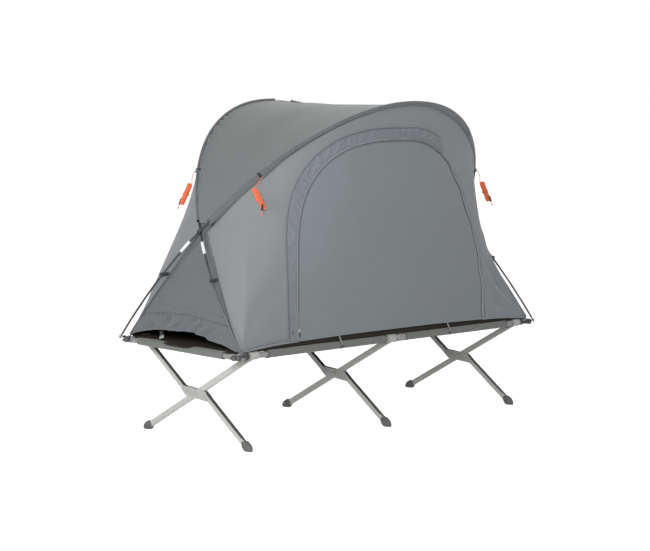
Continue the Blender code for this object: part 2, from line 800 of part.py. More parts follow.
def clip_tabs(side):
    """Webbing from a pole's two clips to the seams that they hold."""
    tabs = []
    for _, end in ENDS:
        clip = pole_at(side, CLIP_RISE, end)
        crossing, corner = seam_point(-side, end, 0), seam_point(-side, end, 1)
        seam = seam_point(-side, end, (crossing.z - clip.z) / (crossing.z - corner.z))
        reach = (seam - clip).normalized()
        tabs.append(block(clip, seam - reach * CLIP_GAP, CLIP_TAB_WIDTH, CLIP_SHEET, Z_AXIS))
    return tabs


def make_pole(side_name, side):
    """One arch: eight tubes with a ferrule over each joint, bare tips, and a clip round each leg."""
    path = pole_path(side, count=POLE_SAMPLES)
    total = sum((b - a).length for a, b in zip(path, path[1:]))
    step = total / (len(path) - 1)
    clips = []
    for _, end in ENDS:
        clip = pole_at(side, CLIP_RISE, end)
        clips.append(min(range(len(path)), key=lambda i: (path[i] - clip).length) * step)
    collars = [(at, FERRULE_LENGTH, FERRULE_RADIUS)
               for at in np.linspace(FIRST_FERRULE, total - FIRST_FERRULE, FERRULES)]
    collars += [(at, CLIP_LENGTH, CLIP_RADIUS) for at in clips]
    stations = [(0.0, TIP_RADIUS), (TIP_LENGTH, TIP_RADIUS), (TIP_LENGTH + STEP, POLE_RADIUS)]
    stations += [(total - at, radius) for at, radius in stations]
    for at, length, radius in collars:
        half = length / 2
        stations += [
            (at - half - STEP, POLE_RADIUS), (at - half, radius),
            (at + half, radius), (at + half + STEP, POLE_RADIUS),
        ]
    for at in np.linspace(0, total, POLE_POINTS):
        if all(abs(at - place) > 0.02 for place, _ in stations):
            if all(abs(at - place) > length / 2 for place, length, _ in collars):
                stations.append((at, POLE_RADIUS))
    stations.sort()
    points = []
    for at, _ in stations:
        place = at / step
        lower = min(int(place), len(path) - 2)
        points.append(path[lower].lerp(path[lower + 1], place - lower))
    radii = [radius for _, radius in stations]
    curve = tube_curve(f"{side_name}_arch_pole", points, POLE_RADIUS, "pole", "tent", radii)
    pole = as_mesh(curve)
    add(pole, *clip_tabs(side))


def make_sleeve(name, side, path, tab_ends):
    """A fabric tube round a pole, with a bound cuff at each end and a sewn tab for the guy cord."""
    path = even_steps(path, max(8, int(len(path) / 5)))
    first, last = (path[1] - path[0]).normalized(), (path[-1] - path[-2]).normalized()
    ends = (CUFF_LENGTH, CUFF_LENGTH + STEP)
    path = [path[0]] + [path[0] + first * d for d in ends] + path[1:-1] \
        + [path[-1] - last * d for d in reversed(ends)] + [path[-1]]
    radii = [SLEEVE_RADIUS] * len(path)
    radii[0] = radii[1] = radii[-1] = radii[-2] = SLEEVE_RADIUS + CUFF_SHEET
    sleeve = tube_curve(name, path, SLEEVE_RADIUS, "canopy", "tent", radii, caps=False)
    wall = sleeve.modifiers.new("cloth", "SOLIDIFY")
    wall.thickness = SLEEVE_SHEET
    wall.offset = -1
    sleeve = as_mesh(sleeve)
    for end in tab_ends:
        start = guy_tab_place(side, end)
        out = guy_tab_direction(side, end)
        add(sleeve, block(start, start + out * TAB_LENGTH, TAB_WIDTH, TAB_SHEET))


def make_sleeves():
    start = CROSS_RISE + SLEEVE_START
    make_sleeve("near_pole_sleeve", -1, pole_path(-1, start, count=SLEEVE_SAMPLES), (-1, 1))
    far = pole_path(1, start, count=SLEEVE_SAMPLES)
    broken_at, taken_up = SLEEVE_BREAK
    left = [point for point in far if point.x <= broken_at]
    right = [point for point in far if point.x >= taken_up]
    make_sleeve("far_pole_sleeve_left", 1, left, (-1,))
    make_sleeve("far_pole_sleeve_right", 1, right, (1,))


def hem_z(x):
    """The side hem is level along the door and dips to the corners."""
    past = max(0.0, abs(x) - DOOR_HALF_WIDTH) / (HEM_HALF_LENGTH - DOOR_HALF_WIDTH)
    return HEM_Z - (HEM_Z - HEM_CORNER_Z) * min(past, 1.0) ** 2


def panel_hem(side, u):
    """The foot of the side panel's column u. The last columns crowd into the corner."""
    reach = abs(u)
    if reach < SHOULDER:
        part = CORNER_PACKING * reach / SHOULDER
    else:
        part = CORNER_PACKING + (1 - CORNER_PACKING) * (reach - SHOULDER) / (1 - SHOULDER)
    x = math.copysign(HEM_HALF_LENGTH * part, u)
    return Vector((x, side * HEM_Y, hem_z(x)))


def column_reach(u, lowest):
    """How far out column u meets the arch, in even turns down to the lowest rise."""
    widest = math.asin(abs(pole_at(0, lowest).x) / POLE_HALF_SPAN)
    return POLE_HALF_SPAN * math.sin(abs(u) * widest)


def arch_point(side, x):
    return pole_at(side, rise_at_x(x)) * Vector((0, 1, 1)) + X_AXIS * x


def inset_from_pole(side, x, towards):
    """A step off the pole at x, square to the pole and as near to towards as it can be."""
    step = 0.002
    run = (arch_point(side, x + step) - arch_point(side, x - step)).normalized()
    return (towards - run * towards.dot(run)).normalized() * EDGE_INSET


def panel_top(side, u):
    """The head of column u: on the arch, set back from the pole for its sleeve."""
    x = math.copysign(column_reach(u, CROSS_RISE + PANEL_START), u)
    point = arch_point(side, x)
    inset = inset_from_pole(side, x, panel_hem(side, u) - point)
    corner = float(abs(u)) ** CORNER_POWER
    return point + inset - corner * Vector((math.copysign(SEAM_INSET, u), 0, SEAM_DROP))


def side_panel_point(side, u, s):
    """A point on a side panel: column u, from the hem at s = 0 to the arch at s = 1."""
    foot, head = panel_hem(side, u), panel_top(side, u)
    bow = SEAM_BOW * 4 * s * (1 - s) * max(0.0, (abs(u) - SHOULDER) / (1 - SHOULDER))
    return foot.lerp(head, s) + Vector((math.copysign(bow, u), 0, 0))


def side_panel_uv(x, z, side=-1):
    """The column and height of the side panel at this x and z, between the shoulders."""
    columns = np.linspace(-SHOULDER, SHOULDER, 81)
    xs, heights = [], []
    for u in columns:
        foot, head = panel_hem(side, u), panel_top(side, u)
        s = (z - foot.z) / (head.z - foot.z)
        xs.append(foot.x + (head.x - foot.x) * s)
        heights.append(s)
    return float(np.interp(x, xs, columns)), float(np.interp(x, xs, heights))


def door_edge(q, grow=0.0):
    """The door's outline at q, 0 at its lower left and 1 at its lower right, grown outwards."""
    turn = math.pi * (1 - q)
    power = DOOR_SQUARENESS[0] if q < 0.5 else DOOR_SQUARENESS[1]
    across, up = abs(math.cos(turn)) ** (2 / power), math.sin(turn) ** (2 / power)
    x = (DOOR_HALF_WIDTH + grow) * math.copysign(across, q - 0.5)
    return x, DOOR_BOTTOM + (DOOR_TOP - DOOR_BOTTOM + grow) * up


def on_panel(x, z, out=0.0):
    """A point of the near panel at x and z, moved outwards by out."""
    u, s = side_panel_uv(x, z)
    point = side_panel_point(-1, u, s)
    return Vector((x, point.y - out, z))


def make_roof():
    """The lens between the arches: taut across the bed, with a slight sag along its middle."""
    def place(u, v):
        x = math.copysign(column_reach(u, CROSS_RISE + SLEEVE_START), u)
        edge = arch_point(1, x)
        edge += inset_from_pole(1, x, Vector((0, -1, 0)))
        sag = ROOF_SAG * (1 - v * v) * (1 - u * u)
        return Vector((edge.x, v * edge.y, edge.z - sag))

    sheet("roof_panel", place, 24, 5, "canopy", "tent")


def make_far_panel():
    sheet("far_side_panel", lambda u, v: side_panel_point(1, u, (v + 1) / 2), 20, 6, "canopy", "tent")


def ring_border(q):
    """The near panel's outer edge at q: up the left seam, over the arch and down the right seam."""
    side_share = 0.22
    if q < side_share:
        return -1.0, q / side_share
    if q > 1 - side_share:
        return 1.0, (1 - q) / side_share
    return (q - side_share) / (1 - 2 * side_share) * 2 - 1, 1.0


def make_near_panel():
    """The door side: one sheet from the door's outline out to the seams and the arch."""
    def place(u, v):
        q, r = (u + 1) / 2, (v + 1) / 2
        x, z = door_edge(q, DOOR_GAP)
        inner = side_panel_uv(x, max(z, hem_z(x)))
        outer = ring_border(q)
        return side_panel_point(
            -1, inner[0] + (outer[0] - inner[0]) * r, inner[1] + (outer[1] - inner[1]) * r,
        )

    sheet("near_side_panel", place, 38, 4, "canopy", "tent")


def make_door():
    """The door hinges on its lower edge. Its sheet follows the panel that it closes."""
    def place(u, v):
        """Columns that close up towards the sides, each as tall as the outline there."""
        x = math.sin(u * math.pi / 2) * (DOOR_HALF_WIDTH - DOOR_SIDE_CLEARANCE)
        power = DOOR_SQUARENESS[0] if u < 0 else DOOR_SQUARENESS[1]
        part = (1 - (abs(x) / DOOR_HALF_WIDTH) ** power) ** (1 / power)
        return on_panel(x, DOOR_BOTTOM + (DOOR_TOP - DOOR_BOTTOM) * part * (v + 1) / 2)

    sheet("door_panel", place, 24, 5, "door", "door")


def make_storm_flap():
    """The flap covers the zip from the door's lower left over its top. It is sewn on outside it."""
    def place(u, v):
        q = FLAP_ENDS[0] + (FLAP_ENDS[1] - FLAP_ENDS[0]) * (u + 1) / 2
        x, z = door_edge(q, FLAP_START + FLAP_WIDTH * (v + 1) / 2)
        return on_panel(x, z, FLAP_STANDOFF)

    sheet("storm_flap", place, 28, 1, "canopy", "tent", FLAP_SHEET)


def slider_place():
    return on_panel(-DOOR_HALF_WIDTH - DOOR_GAP / 2, SLIDER_HEIGHT, SLIDER_STANDOFF)


def make_zip_slider():
    place = slider_place()
    half = Z_AXIS * SLIDER[2] / 2
    runner = block(place - half, place + half, SLIDER[0], SLIDER[1])
    slider = mesh_piece("zip_slider", runner, "zip", "zip_slider")
    hang = place - Z_AXIS * (SLIDER[2] / 2 - STEP) - Y_AXIS * SLIDER[1] / 4
    add(slider, block(hang, hang - Z_AXIS * PULL[2], PULL[0], PULL[1]))


def seam_point(side, end, down):
    """The seam between a side panel and an end panel, from the crossing at 0 to the corner at 1."""
    return side_panel_point(side, float(end), 1 - down)


def make_end_panel(end_name, end):
    """The triangle under the crossing, with its hem drawn up over the end bar."""
    def place(u, v):
        down = (1 - v) / 2
        seam = seam_point(1, end, down)
        half_width = max(seam.y - SEAM_SETBACK, 0.003)
        lift = END_HEM_RISE * (1 - u * u) * down ** 3
        billow = END_BILLOW * (1 - u * u) * 4 * down * (1 - down)
        return Vector((seam.x + end * billow, u * half_width, seam.z + lift))

    sheet(f"{end_name}_end_panel", place, 8, 8, "canopy", "tent")


def make_floor():
    """A shallow tray: its long edges turn up inside the hems, and four hooks go over the rails."""
    def place(u, v):
        """Six rows: the middle four lie flat, and the outer two stand up as the lips."""
        x = u * FLOOR_HALF_LENGTH
        row = round((v + 1) * 3)
        rise = hem_z(x) - HEM_CORNER_Z if row in (0, 6) else 0.0
        flat = min(max(row, 1), 5) - 3
        return Vector((x, FLOOR_HALF_WIDTH * flat / 2, FLOOR_Z + rise))

    floor = sheet("tent_floor", place, 10, 6, "floor", "tent", FLOOR_SHEET)
    reach = RAIL_RADIUS + RUNNING_GAP + SLING_SLEEVE + RUNNING_GAP + HEM_TIE_SHEET / 2
    for _, side in SIDES:
        for _, end in ENDS:
            rail = rail_centre(side, end * HEM_TIE_X)
            elbow = Vector((rail.x, rail.y + side * reach, FLOOR_Z))
            over = block(
                elbow - Y_AXIS * side * (reach + HEM_TIE_LAP), elbow + Y_AXIS * side * HEM_TIE_SHEET / 2,
                HEM_TIE_WIDTH, HEM_TIE_SHEET,
            )
            foot = Vector((elbow.x, elbow.y, rail.z - HEM_TIE_DROP))
            add(floor, over, block(foot, elbow, HEM_TIE_FOOT_WIDTH, HEM_TIE_SHEET))


def make_corner_straps():
    """At each corner, a band round the rail's end, a buckled web and a ring for the pole's tip."""
    inner = RAIL_RADIUS + RUNNING_GAP
    outer = inner + BAND_SHEET
    for side_name, side in SIDES:
        for end_name, end in ENDS:
            start, stop = (rail_centre(side, end * x) for x in BAND_ENDS)
            band = mesh_piece(
                f"corner_strap_{side_name}_{end_name}", ring(start, stop, outer, inner), "webbing",
                "tent",
            )
            path = pole_path(-side, count=POLE_SAMPLES)
            tip, above = (path[0], path[4]) if end < 0 else (path[-1], path[-5])
            lower = (tip - above).normalized()
            eye = tip - lower * TIP_LENGTH * 0.5
            first = (start + stop) / 2 + Y_AXIS * side * (inner + BAND_SHEET / 2)
            run = (eye - first).normalized()
            last = eye - (run - lower * run.dot(lower)).normalized() * (RING_RADIUS - RING_WIRE / 2)
            run = (last - first).normalized()
            buckle = (first + last) / 2
            half = run * BUCKLE_LENGTH / 2
            add(
                band, block(first, last, STRAP_WIDTH, STRAP_SHEET, Z_AXIS),
                block(buckle - half, buckle + half, BUCKLE_WIDTH, BUCKLE_SHEET, Z_AXIS),
                wire_ring(eye, lower, RING_RADIUS, RING_WIRE),
            )


# Guy cords
def guy_tab_direction(side, end):
    """Outwards and a little down, away from the panel."""
    return Vector((end * GUY_TAB_SPLAY, side, -GUY_TAB_SPLAY)).normalized()


def guy_tab_place(side, end):
    """The tab's root: sunk into the sleeve's outer side at the arch's shoulder."""
    return pole_at(side, GUY_RISE, end) + guy_tab_direction(side, end) * (SLEEVE_RADIUS - TAB_SINK)


def hank_path(side, end, lean):
    """One unbroken cord: a lead from the tab, loops drawn in at the waist, wraps round it, a tail.

    The bundle lies flat, just off the panel. Its loops run along a line that leans from the slope
    of the panel, and the lead comes in at the end of the bundle that is lower.
    """
    head, foot = side_panel_point(side, end * 0.75, 0.95), side_panel_point(side, end * 0.75, 0.5)
    slope = (foot - head).normalized()
    out = slope.cross(X_AXIS * side).normalized()
    out = out if out.y * side > 0 else -out
    level = out.cross(slope).normalized()
    level = level if level.x > 0 else -level
    top = guy_tab_place(side, end)
    top += guy_tab_direction(side, end) * (TAB_LENGTH + CORD_RADIUS + GAP)
    axis = slope * math.cos(lean) + level * math.sin(lean)
    across = axis.cross(out).normalized()
    centre = top + slope * HANK_DROP + out * HANK_STANDOFF - level * math.sin(lean) * HANK_SHIFT
    half = HANK_LENGTH / 2
    depth = HANK_STEP * HANK_LOOPS / 2

    def at(u, w, n):
        return centre + axis * u + across * w + out * n

    points = []
    first = at(-half, 0, -depth)
    for t in np.linspace(0, 1, 6)[:-1]:
        points.append(top.lerp(first, t) + out * LEAD_SLACK * math.sin(math.pi * t))
    for i in range(HANK_LOOPS * LOOP_POINTS + 1):
        turn = 2 * math.pi * i / LOOP_POINTS
        u = -half * math.cos(turn)
        narrow = HANK_WAIST + (1 - HANK_WAIST) * (u / half) ** 2
        w = HANK_WIDTH / 2 * math.sin(turn) * narrow
        points.append(at(u, w, -depth + HANK_STEP * i / LOOP_POINTS))
    wrap_n = depth + WRAP_CLEARANCE
    wrap_w = HANK_WIDTH / 2 * HANK_WAIST + WRAP_CLEARANCE
    for t in (0.12, 0.4, 0.7):
        points.append(at(-half + t * RUN_IN, 0, wrap_n + RUN_IN_RISE * (1 - t)))
    for i in range(WRAP_TURNS * WRAP_POINTS + 1):
        turn = 2 * math.pi * i / WRAP_POINTS
        c, s = math.cos(turn), math.sin(turn)
        u = WRAP_START + HANK_STEP * i / WRAP_POINTS
        w = wrap_w * math.copysign(abs(s) ** WRAP_SQUARENESS, s)
        n = wrap_n * math.copysign(abs(c) ** WRAP_SQUARENESS, c)
        points.append(at(u, w, n))
    last = at(WRAP_START + HANK_STEP * WRAP_TURNS, 0, wrap_n)
    for t in (0.2, 0.6, 1.0):
        points.append(last + out * TAIL_LIFT * min(1, 3 * t) + slope * TAIL_LENGTH * t)
    return points


def tube_gap(points, radius, skip):
    """The least clear distance between stretches of a tube that aren't next to each other."""
    fine = even_steps(points, 900)
    places = np.array([tuple(point) for point in fine])
    step = np.linalg.norm(places[1] - places[0])
    apart = int(skip / step) + 1
    least = 1.0
    for i in range(0, len(places) - apart, 3):
        gaps = np.linalg.norm(places[i + apart:] - places[i], axis=1)
        least = min(least, float(gaps.min()))
    return least - 2 * radius


def make_guy_cords():
    for side_name, side in SIDES:
        for end_name, end in ENDS:
            path = hank_path(side, end, HANK_LEAN[f"{side_name}_{end_name}"])
            name = f"guy_cord_{side_name}_{end_name}"
            tube_curve(name, path, CORD_RADIUS, "guy_cord", "tent")
            length = sum((b - a).length for a, b in zip(path, path[1:]))
            gap = tube_gap(path, CORD_RADIUS, 0.014)
            print(f"{name}: length {length:.3f} m, least gap to itself {gap * 1000:.2f} mm")


def make_bodies():
    body("near_side")
    body("far_side", pivot_point())
    for end_name, end in ENDS:
        body(f"end_bar_{end_name}", (end * END_BAR_X, 0, RAIL_HEIGHT))
    body("tent", (0, 0, FLOOR_Z))
    body("door", on_panel(0, DOOR_BOTTOM))
    body("zip_slider", slider_place())


def build():
    make_bodies()
    for where, x in LEG_PLANES:
        make_straight_leg(where, x)
        make_half_legs(where, x)
        make_saddle(where, x)
        make_pivot_bolt(where, x)
    for side_name, side in SIDES:
        make_pole(side_name, side)
        body_name = f"{side_name}_side"
        make_rails(side_name, side, body_name)
        make_rail_hinge(side_name, side, body_name)
        make_end_plugs(side_name, side, body_name)
        for end_name, end in ENDS:
            make_bracket(side_name, side, end_name, end, body_name)
    for end_name, end in ENDS:
        make_end_bar(end_name, end)
        make_end_panel(end_name, end)
    make_sling()
    make_sleeves()
    make_roof()
    make_near_panel()
    make_far_panel()
    make_floor()
    make_door()
    make_storm_flap()
    make_zip_slider()
    make_corner_straps()
    make_guy_cords()


build()
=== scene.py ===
"""Looks of the cot tent: cloth, webbing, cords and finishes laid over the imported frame.

Metres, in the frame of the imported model: X along the bed, the door side faces -Y, +Z up.
"""
import math

import bpy
import numpy as np
from mathutils import Matrix, Vector


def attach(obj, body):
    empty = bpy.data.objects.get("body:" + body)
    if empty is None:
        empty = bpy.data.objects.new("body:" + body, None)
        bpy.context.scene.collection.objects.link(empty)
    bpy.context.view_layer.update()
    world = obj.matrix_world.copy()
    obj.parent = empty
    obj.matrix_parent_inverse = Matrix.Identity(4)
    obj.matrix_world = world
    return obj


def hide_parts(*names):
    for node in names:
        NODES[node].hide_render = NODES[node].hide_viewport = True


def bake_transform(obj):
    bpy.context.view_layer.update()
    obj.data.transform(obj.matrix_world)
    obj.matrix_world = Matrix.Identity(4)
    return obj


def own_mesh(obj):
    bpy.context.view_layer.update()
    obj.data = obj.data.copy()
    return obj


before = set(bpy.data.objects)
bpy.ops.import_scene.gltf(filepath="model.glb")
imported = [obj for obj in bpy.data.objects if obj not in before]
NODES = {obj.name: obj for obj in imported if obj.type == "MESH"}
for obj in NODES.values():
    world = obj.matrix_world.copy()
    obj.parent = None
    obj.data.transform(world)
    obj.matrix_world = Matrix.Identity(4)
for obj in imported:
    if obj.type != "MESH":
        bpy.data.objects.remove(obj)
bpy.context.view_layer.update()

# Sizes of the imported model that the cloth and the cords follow
RAIL_HEIGHT = 0.394
HALF_RAIL = 0.3395
HALF_FOOT = 0.3365
PIVOT_Z = 0.196126
LEG_X = (-0.8445, -0.0125, 0.8445)
LEG_WIDTH = 0.026
LEG_THICKNESS = 0.016
END_BAR_X = 0.935
SLING_Z = 0.4066
SLING_HALF_WIDTH = 0.317
SLING_HALF_LENGTH = 0.905
RAIL_SLEEVE = (0.064, 0.770)
BAR_SLEEVE_HALF = 0.270
POLE_RADIUS = 0.0045
POLE_HALF_SPAN = 0.9417
POLE_RISE = 1.3157
POLE_LEAN = math.radians(39.0)
POLE_FULLNESS = 2.043
POLE_CORNER_Y = 0.385
POLE_CORNER_Z = 0.395
POLE_STAGGER = 0.0065
CROSS_RISE = POLE_CORNER_Y / math.sin(POLE_LEAN)
TIP_LENGTH = 0.026
FERRULES = 7
FIRST_FERRULE = 0.54
SLEEVE_RADIUS = 0.0108
SLEEVE_START = 0.055
SLEEVE_BREAK = (0.0, 0.105)
EDGE_INSET = 0.0155
TUCK = 0.0095
SEAM_SETBACK = 0.0045
SEAM_INSET = 0.020
SEAM_DROP = 0.012
SEAM_BOW = 0.012
SHOULDER = 0.80
CORNER_PACKING = 0.975
HEM_HALF_LENGTH = 0.925
HEM_Y = 0.346
HEM_Z = 0.4350
HEM_CORNER_Z = 0.4150
ROOF_SAG = 0.012
SKIRT_AT = 0.80
END_HEM_RISE = 0.055
END_BILLOW = 0.012
FLOOR_Z = 0.4125
FLOOR_HALF_WIDTH = 0.340
FLOOR_HALF_LENGTH = 0.915
DOOR_HALF_WIDTH = 0.590
DOOR_BOTTOM = 0.437
DOOR_TOP = 1.255
DOOR_SQUARENESS = (3.4, 2.0)
DOOR_GAP = 0.0035
FLAP_WIDTH = 0.044
FLAP_INNER = 0.0105
FLAP_START = 0.012
FLAP_END = 0.632
FLAP_STANDOFF = 0.0026
SLIDER_HEIGHT = 0.475
SLIDER_STANDOFF = 0.0036
CLIP_RISE = 0.375
BAND_X = 0.882
RING_RADIUS = 0.0085
HEM_TIE_X = 0.35
GUY_RISE = 0.924
TAB_LENGTH = 0.014
CORD_RADIUS = 0.0015
HANK_LENGTH = 0.097
HANK_WIDTH = 0.019
HANK_WAIST = 0.45
HANK_LOOPS = 5
HANK_STEP = 0.0038
LOOP_POINTS = 10
WRAP_TURNS = 2
WRAP_POINTS = 8
WRAP_SQUARENESS = 0.5
WRAP_CLEARANCE = 0.0048
WRAP_START = -0.004
RUN_IN = 0.0436
RUN_IN_RISE = 0.0012
LEAD_SLACK = 0.004
TAIL_LENGTH = 0.065
TAIL_LIFT = 0.004
HANK_DROP = 0.100
HANK_SHIFT = 0.030
HANK_STANDOFF = 0.006
HANK_LEAN = {"near_left": 40, "near_right": 6, "far_left": -6, "far_right": 6}
CLOTH_THICKNESS = 0.0008
SIDES = (("near", -1), ("far", 1))
ENDS = (("left", -1), ("right", 1))
CORNERS = [(f"{s}_{e}", side, end) for s, side in SIDES for e, end in ENDS]
SIDE_BODY = {-1: "near_side", 1: "far_side"}
LEGS = ("left", "middle", "right")

# The photograph's view, fitted to the feet, the rails and the poles
CAMERA_PLACE = (-5.489, -5.319, 1.414)
CAMERA_ANGLES = (-45.407, 5.791, 0.998)
FOCAL_PIXELS = 1706.303
PHOTO_WIDTH = 650
SENSOR = 36.0


# Materials
def shader_material(name, colour, roughness, **sockets):
    """A Principled material: its even values sit on the shader's own sockets."""
    made = bpy.data.materials.new(name)
    made.use_nodes = True
    shader = made.node_tree.nodes["Principled BSDF"]
    shader.inputs["Base Color"].default_value = (*colour, 1)
    shader.inputs["Roughness"].default_value = roughness
    for socket, value in sockets.items():
        shader.inputs[socket.replace("_", " ")].default_value = value
    return made


def node(made, kind, links=(), **values):
    """A node, with values set by input or property name and links given as (input, output)."""
    new = made.node_tree.nodes.new(f"ShaderNode{kind}")
    for key, value in values.items():
        label = key.replace("_", " ")
        if label in new.inputs:
            new.inputs[label].default_value = value
        else:
            setattr(new, key, value)
    for socket, output in links:
        made.node_tree.links.new(new.inputs[socket], output)
    return new


def join(made, socket, output):
    """Links an output to a socket of the material's shader."""
    made.node_tree.links.new(made.node_tree.nodes["Principled BSDF"].inputs[socket], output)


def texture_place(made, kind="Object", stretch=(1, 1, 1)):
    coordinates = node(made, "TexCoord")
    return node(made, "Mapping", [("Vector", coordinates.outputs[kind])], Scale=stretch).outputs[0]


def noise(made, place, scale, detail, **values):
    links = [("Vector", place)]
    return node(made, "TexNoise", links, Scale=scale, Detail=detail, **values).outputs[0]


def wave(made, place, scale, **values):
    return node(made, "TexWave", [("Vector", place)], Scale=scale, **values).outputs["Fac"]


def maths(made, operation, *values):
    """A maths node on outputs and numbers, in the order of its inputs."""
    new = node(made, "Math", operation=operation)
    for socket, value in zip(new.inputs, values):
        if isinstance(value, (int, float)):
            socket.default_value = value
        else:
            made.node_tree.links.new(socket, value)
    return new.outputs[0]


def tint(made, factor, low, high, colour):
    """Varies the base colour between two shares of it, by a factor from 0 to 1."""
    ramp = node(made, "ValToRGB", [("Fac", factor)])
    for stop, share in zip(ramp.color_ramp.elements, (low, high)):
        stop.color = (*(min(1, c * share) for c in colour), 1)
    join(made, "Base Color", ramp.outputs[0])
    return ramp.color_ramp.elements


def rough_between(made, factor, low, high):
    spread = node(made, "MapRange", [("Value", factor)], To_Min=low, To_Max=high)
    join(made, "Roughness", spread.outputs[0])


def bumps(made, *layers):
    """Bumps one on another, each a height, a distance and a strength."""
    below = []
    for height, distance, strength in layers:
        links = [("Height", height), *below]
        last = node(made, "Bump", links, Distance=distance, Strength=strength)
        below = [("Normal", last.outputs[0])]
    join(made, "Normal", last.outputs[0])


def cloth_material(name, colour, mottle=0.05, crease=0.35, crease_size=16.0, roughness=0.72,
                   sheen=0.25, specular=0.35):
    """Coated plain weave: fine threads, soft mottling and small creases."""
    made = shader_material(
        name, colour, roughness, Sheen_Weight=sheen, Sheen_Roughness=0.5,
        Specular_IOR_Level=specular,
    )
    place = texture_place(made)
    cloud = noise(made, place, 3.2, 5.0, Roughness=0.55)
    tint(made, cloud, 1 - mottle * 2, 1 + mottle * 2, colour)
    rough_between(made, cloud, roughness - 0.08, roughness + 0.10)
    creases = noise(made, place, crease_size, 6.0, Roughness=0.6, Distortion=1.6)
    threads = texture_place(made, "UV")
    warp = wave(made, threads, 400.0, Distortion=0.4)
    weft = wave(made, threads, 400.0, Distortion=0.4, bands_direction="Y")
    weave = maths(made, "MULTIPLY", warp, weft)
    bumps(made, (creases, 0.004, crease), (weave, 0.0002, 0.25))
    return made


def webbing_material(name, colour, rib=0.0016):
    """Woven tape: ribs across its length and a fine chevron."""
    made = shader_material(name, colour, 0.8, Sheen_Weight=0.2)
    place = texture_place(made, "UV")
    ribs = wave(made, place, 0.314 / rib, Distortion=0.2)
    across = wave(made, place, 0.314 / rib / 2, bands_direction="Y")
    tint(made, ribs, 0.8, 1.15, colour)
    bumps(made, (maths(made, "ADD", ribs, across), 0.0004, 0.6))
    return made


def stitched_material(name, colour, thread, pitch=0.0045):
    """Binding tape with a run of stitches along its middle."""
    made = shader_material(name, colour, 0.75, Sheen_Weight=0.2)
    place = texture_place(made, "UV")
    split = node(made, "SeparateXYZ", [("Vector", place)])
    beat = maths(made, "PINGPONG", split.outputs[0], pitch / 2)
    dash = maths(made, "GREATER_THAN", beat, pitch * 0.16)
    lane = maths(made, "COMPARE", split.outputs[1], 0.25, 0.022)
    stitch = maths(made, "MULTIPLY", dash, lane)
    tint(made, stitch, 1.0, 1.0, colour)[1].color = (*thread, 1)
    grain = noise(made, place, 900.0, 3.0)
    bumps(made, (stitch, 0.0005, 0.7), (grain, 0.0003, 0.3))
    return made


def painted_material(name, colour, roughness=0.42, metallic=0.0, wear=0.12):
    """Powder coat: a fine orange peel, faint streaks and lighter worn edges."""
    made = shader_material(name, colour, roughness, Metallic=metallic, Specular_IOR_Level=0.5)
    streak = noise(made, texture_place(made, "Object", (6, 30, 30)), 2.0, 6.0, Roughness=0.65)
    edge = node(made, "NewGeometry")
    worn = node(
        made, "MapRange", [("Value", edge.outputs["Pointiness"])], From_Min=0.50, From_Max=0.58,
    )
    both = maths(made, "MULTIPLY", streak, worn.outputs[0])
    tint(made, maths(made, "ADD", streak, both), 1 - wear, 1 + wear * 2, colour)
    rough_between(made, streak, roughness - 0.06, roughness + 0.10)
    bumps(made, (noise(made, texture_place(made), 900.0, 2.0), 0.0002, 0.35))
    return made


def moulded_material(name, colour, roughness=0.6):
    """Moulded plastic or rubber: a fine spark grain and slightly dusty faces."""
    made = shader_material(name, colour, roughness, Specular_IOR_Level=0.4)
    place = texture_place(made)
    dust = noise(made, place, 30.0, 5.0)
    tint(made, dust, 0.75, 1.35, colour)
    rough_between(made, dust, roughness - 0.08, roughness + 0.12)
    bumps(made, (noise(made, place, 500.0, 3.0), 0.0004, 0.4))
    return made


def braid_material(name, colour, fleck):
    """Braided cord: a diamond braid from two slanting waves, with a few light flecks."""
    made = shader_material(name, colour, 0.6, Sheen_Weight=0.3)
    slants = [
        wave(made, texture_place(made, "UV", (1, turn, 1)), 110.0, bands_direction="DIAGONAL")
        for turn in (1, -1)
    ]
    diamonds = maths(made, "MAXIMUM", *slants)
    stops = tint(made, diamonds, 0.72, 1.15, colour)
    stops[0].position = 0.35
    stops.new(0.97).color = (*(c * 1.05 for c in colour), 1)
    stops[2].color = (*fleck, 1)
    bumps(made, (diamonds, 0.0005, 0.8))
    return made


def coil_material(name, colour):
    """Zip coil: close teeth along the tape."""
    made = shader_material(name, colour, 0.5)
    teeth = wave(made, texture_place(made, "UV"), 0.314 / 0.0022)
    tint(made, teeth, 0.5, 1.4, colour)
    bumps(made, (teeth, 0.0008, 0.9))
    return made


def glassfibre_material(name, colour):
    """Wrapped glassfibre rod: a faint lengthwise grain under a satin coat."""
    made = shader_material(name, colour, 0.34, Coat_Weight=0.35, Coat_Roughness=0.2)
    grain = noise(made, texture_place(made), 140.0, 4.0, Distortion=0.4)
    tint(made, grain, 0.6, 1.7, colour)
    rough_between(made, grain, 0.28, 0.46)
    bumps(made, (grain, 0.0002, 0.25))
    return made


CLOTH_SIDE = cloth_material("cloth_side", (0.201, 0.216, 0.228), 0.03)
CLOTH_ROOF = cloth_material("cloth_roof", (0.151, 0.161, 0.162), 0.03)
CLOTH_END = cloth_material("cloth_end", (0.114, 0.125, 0.134), 0.04, 0.5)
CLOTH_DOOR = cloth_material("cloth_door", (0.186, 0.206, 0.218), 0.04, 0.3)
CLOTH_FLAP = cloth_material("cloth_flap", (0.171, 0.186, 0.203), 0.06, 0.35, 30.0)
CLOTH_SLEEVE = cloth_material("cloth_sleeve", (0.110, 0.120, 0.128), 0.08, 0.7, 60.0)
CLOTH_SLING = cloth_material("cloth_sling", (0.140, 0.146, 0.138), 0.05, 0.4)
CLOTH_CUFF = cloth_material("cloth_cuff", (0.095, 0.098, 0.094), 0.08, 0.4)
# Light tape: the zip's tapes, and strips of painted highlight on the sleeves' upper edges and the
# flap's inner edge.
CLOTH_TAPE_AND_HIGHLIGHT = cloth_material("cloth_tape_and_highlight", (0.23, 0.248, 0.262), 0.04, 0.2)
